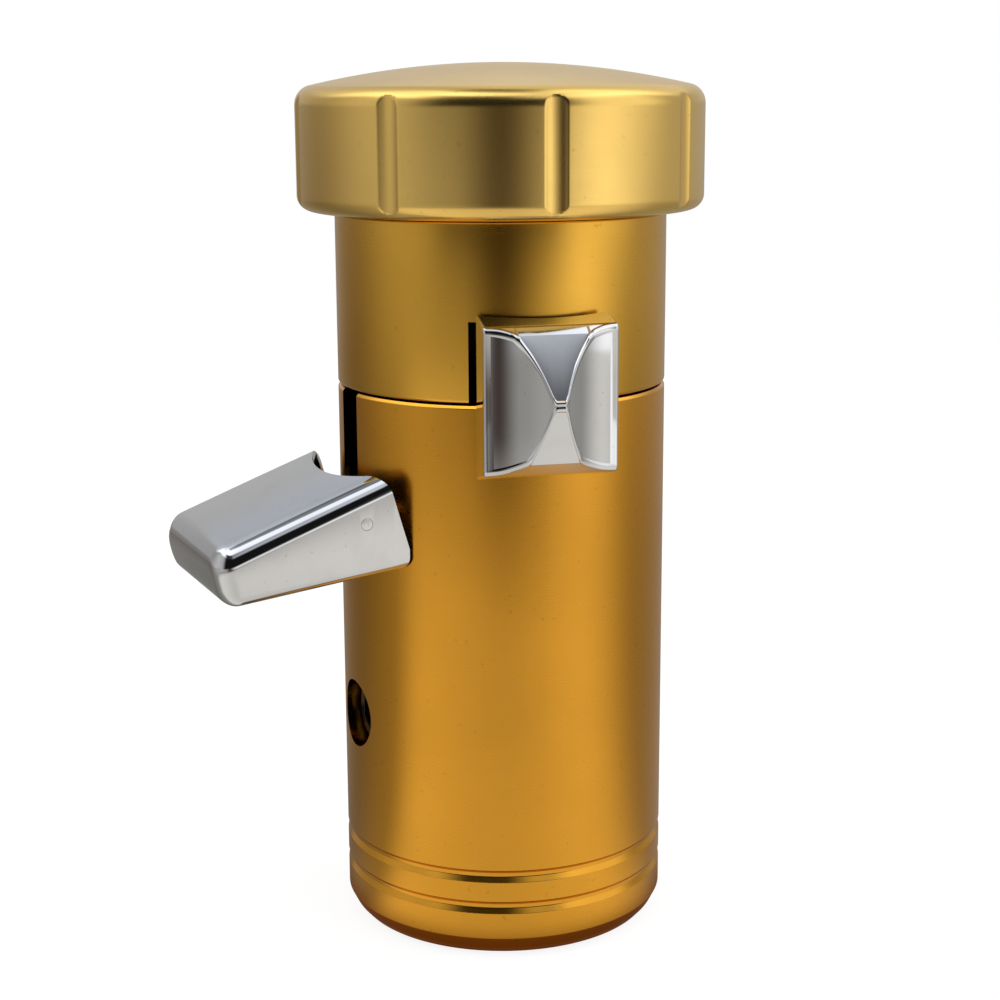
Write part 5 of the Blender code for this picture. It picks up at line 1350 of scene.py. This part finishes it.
class KNOB_OT_stage(bpy.types.Operator):
    """Sets up the floor, the studio's light and the camera."""

    bl_idname = "knob.stage"
    bl_label = "Stage"

    def execute(self, context):
        settings = context.scene.knob.stage
        self.heading = settings.camera_heading
        self.floor(settings)
        self.room(context, settings)
        self.camera(context, settings)
        context.scene.view_settings.view_transform = "Standard"
        return {"FINISHED"}

    def around(self, tree, way):
        """Where a direction lies round the knob, 0.5 towards the camera, and its parts."""
        spun = add(
            tree,
            "ShaderNodeVectorRotate",
            {"Vector": way, "Angle": -self.heading},
            rotation_type="Z_AXIS",
        ).outputs[0]
        parts = add(tree, "ShaderNodeSeparateXYZ", {0: spun}).outputs
        ahead = maths(tree, "MULTIPLY", parts[1], -1.0)
        angle = maths(tree, "ARCTAN2", parts[0], ahead)
        return maths(tree, "MULTIPLY_ADD", angle, 0.5 / math.pi, 0.5), parts

    def ring(self, tree, around, stops, shade, dusk=PLAIN):
        """Light by the turn in degrees from the camera's side, its dim parts tinted by dusk."""
        made = add(tree, "ShaderNodeValToRGB", {"Fac": around})
        ramp = made.color_ramp
        ramp.interpolation = "EASE"
        for index, (degrees, level) in enumerate(stops):
            place = (degrees + 180.0) / 360.0
            if index == 0:
                stop = ramp.elements[0]
            elif index == len(stops) - 1:
                stop = ramp.elements[-1]
            else:
                stop = ramp.elements.new(place)
            stop.position = place
            glow = min(level / DIM_LEVEL, 1.0)
            tint = [part * (dim + (1.0 - dim) * glow) for part, dim in zip(shade, dusk)]
            stop.color = (*(level * part for part in tint), 1.0)
        return made.outputs[0]

    def blend(self, tree, amount, first, second):
        mixed = add(tree, "ShaderNodeMix", {"Factor": amount}, data_type="RGBA")
        tree.links.new(first, mixed.inputs[6])
        tree.links.new(second, mixed.inputs[7])
        return mixed.outputs[2]

    def floor(self, settings):
        """A pale round floor that keeps the knob's shadow and that the metal mirrors; what the metal mirrors
        is a glow of painted light by turn and distance, with a painted shadow near the knob's foot.
        """
        shape = lathe([(0.0, 0.0), (0.06, 0.0), (0.2, 0.0), (0.62, 0.0)], 96)
        for face in shape.faces:
            if face.normal.z < 0.0:
                face.normal_flip()
        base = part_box("lower_barrel")[0].z
        piece = new_object("floor", shape, Matrix.Translation((0.0, 0.0, base - FLOOR_GAP)))
        made = bpy.data.materials.new("pale_floor")
        made.use_nodes = True
        tree = made.node_tree
        tree.nodes.clear()
        place = add(tree, "ShaderNodeTexCoord").outputs["Object"]
        around, _ = self.around(tree, place)
        near = self.ring(tree, around, NEAR_FLOOR, WARM)
        far = self.ring(tree, around, FAR_FLOOR, WARM, DUSK)
        reach = add(tree, "ShaderNodeVectorMath", {0: place}, operation="LENGTH").outputs["Value"]
        seen = self.blend(tree, fade(tree, reach, *FAR_ZONE), near, far)
        shade = add(tree, "ShaderNodeRGB").outputs[0]
        shade.default_value = TOUCH_SHADE
        # Painted shadow near the knob's foot in the floor that the metal mirrors.
        seen = self.blend(tree, fade(tree, reach, *TOUCH_ZONE), shade, seen)
        level = settings.floor_light
        mirrored = add(tree, "ShaderNodeEmission", {"Color": seen, "Strength": level}).outputs[0]
        matt = add(tree, "ShaderNodeBsdfDiffuse", {"Color": (*settings.floor_colour, 1.0)}).outputs[0]
        white = add(tree, "ShaderNodeEmission", {"Strength": FLOOR_WHITE * settings.backdrop}).outputs[0]
        path = add(tree, "ShaderNodeLightPath").outputs
        amount = maths(tree, "MULTIPLY", path["Is Camera Ray"], FLOOR_WHITE_SHARE)
        shown = add(tree, "ShaderNodeMixShader", {0: amount, 1: matt, 2: white}).outputs[0]
        glossy = maths(tree, "MAXIMUM", path["Is Glossy Ray"], path["Is Transmission Ray"])
        mixed = add(tree, "ShaderNodeMixShader", {0: glossy, 1: shown, 2: mirrored}).outputs[0]
        add(tree, "ShaderNodeOutputMaterial", {"Surface": mixed})
        piece.data.materials.append(made)

    def room(self, context, settings):
        """White behind the knob, and the soft studio that its metal mirrors."""
        world = bpy.data.worlds.new("studio")
        world.use_nodes = True
        context.scene.world = world
        tree = world.node_tree
        tree.nodes.clear()
        way = add(tree, "ShaderNodeTexCoord").outputs["Generated"]
        around, parts = self.around(tree, way)
        low = self.ring(tree, around, HORIZON, PLAIN, DUSK)
        middle = self.ring(tree, around, WALLS, PLAIN)
        high = self.ring(tree, around, CEILING, COOL)
        top = self.ring(tree, around, CROWN, COOL)
        rising = fade(tree, parts[2], *WALLS_FROM)
        behind = fade(tree, parts[1], 0.0, 0.6, last=BACK_LIFT)
        lifted = maths(tree, "ADD", parts[2], behind)
        topping = fade(tree, lifted, *CEILING_FROM)
        seen = self.blend(tree, topping, self.blend(tree, rising, low, middle), high)
        seen = self.blend(tree, fade(tree, parts[2], *CROWN_FROM), seen, top)
        crown = fade(tree, parts[2], *ZENITH_FROM, 1.0, ZENITH_LEVEL)
        level = maths(tree, "MULTIPLY", crown, settings.room_light)
        studio = add(tree, "ShaderNodeBackground", {"Color": seen, "Strength": level}).outputs[0]
        plain = {"Color": (1.0, 1.0, 1.0, 1.0), "Strength": settings.backdrop}
        white = add(tree, "ShaderNodeBackground", plain).outputs[0]
        path = add(tree, "ShaderNodeLightPath").outputs
        mixed = add(tree, "ShaderNodeMixShader", {0: path["Is Camera Ray"], 1: studio, 2: white}).outputs[0]
        add(tree, "ShaderNodeOutputWorld", {"Surface": mixed})

    def camera(self, context, settings):
        data = bpy.data.cameras.new("camera")
        data.lens = settings.lens
        data.sensor_width = 36.0
        data.clip_start = 0.01
        data.clip_end = 20.0
        camera = bpy.data.objects.new("camera", data)
        context.scene.collection.objects.link(camera)
        turned = Matrix.Rotation(settings.camera_heading, 4, "Z")
        tilted = Matrix.Rotation(math.pi / 2 - settings.camera_pitch, 4, "X")
        rolled = Matrix.Rotation(settings.camera_roll, 4, "Z")
        camera.matrix_world = Matrix.Translation(settings.camera_place) @ turned @ tilted @ rolled
        context.scene.camera = camera


class VIEW3D_PT_knob(bpy.types.Panel):
    """Lists the knob's pieces and settings."""

    bl_label = "Gear shift knob"
    bl_idname = "VIEW3D_PT_knob"
    bl_space_type = "VIEW_3D"
    bl_region_type = "UI"
    bl_category = "Knob"

    def draw(self, context):
        layout = self.layout
        for operator in OPERATORS:
            layout.operator(operator.bl_idname)
        knob = context.scene.knob
        layout.prop(knob.barrel, "lower_colour")
        layout.prop(knob.barrel, "upper_colour")
        layout.prop(knob.cap, "colour")
        layout.prop(knob.cap, "flute_count")
        layout.prop(knob.cap, "flute_depth")


SETTINGS = (
    BarrelSettings,
    CapSettings,
    RangeLeverSettings,
    BeakSettings,
    HubSettings,
    SpringSettings,
    StageSettings,
    KnobSettings,
)
OPERATORS = (
    KNOB_OT_stage,
    KNOB_OT_barrels,
    KNOB_OT_cap,
    KNOB_OT_range_lever,
    KNOB_OT_beak,
    KNOB_OT_hub,
    KNOB_OT_fittings,
    KNOB_OT_springs,
    KNOB_OT_inner_works,
)


def register():
    for item in (*SETTINGS, *OPERATORS, VIEW3D_PT_knob):
        bpy.utils.register_class(item)
    bpy.types.Scene.knob = PointerProperty(type=KnobSettings)


def unregister():
    del bpy.types.Scene.knob
    for item in reversed((*SETTINGS, *OPERATORS, VIEW3D_PT_knob)):
        bpy.utils.unregister_class(item)


def main():
    register()
    for operator in OPERATORS:
        getattr(bpy.ops.knob, operator.bl_idname.split(".")[1])()


if __name__ == "__main__":
    main()
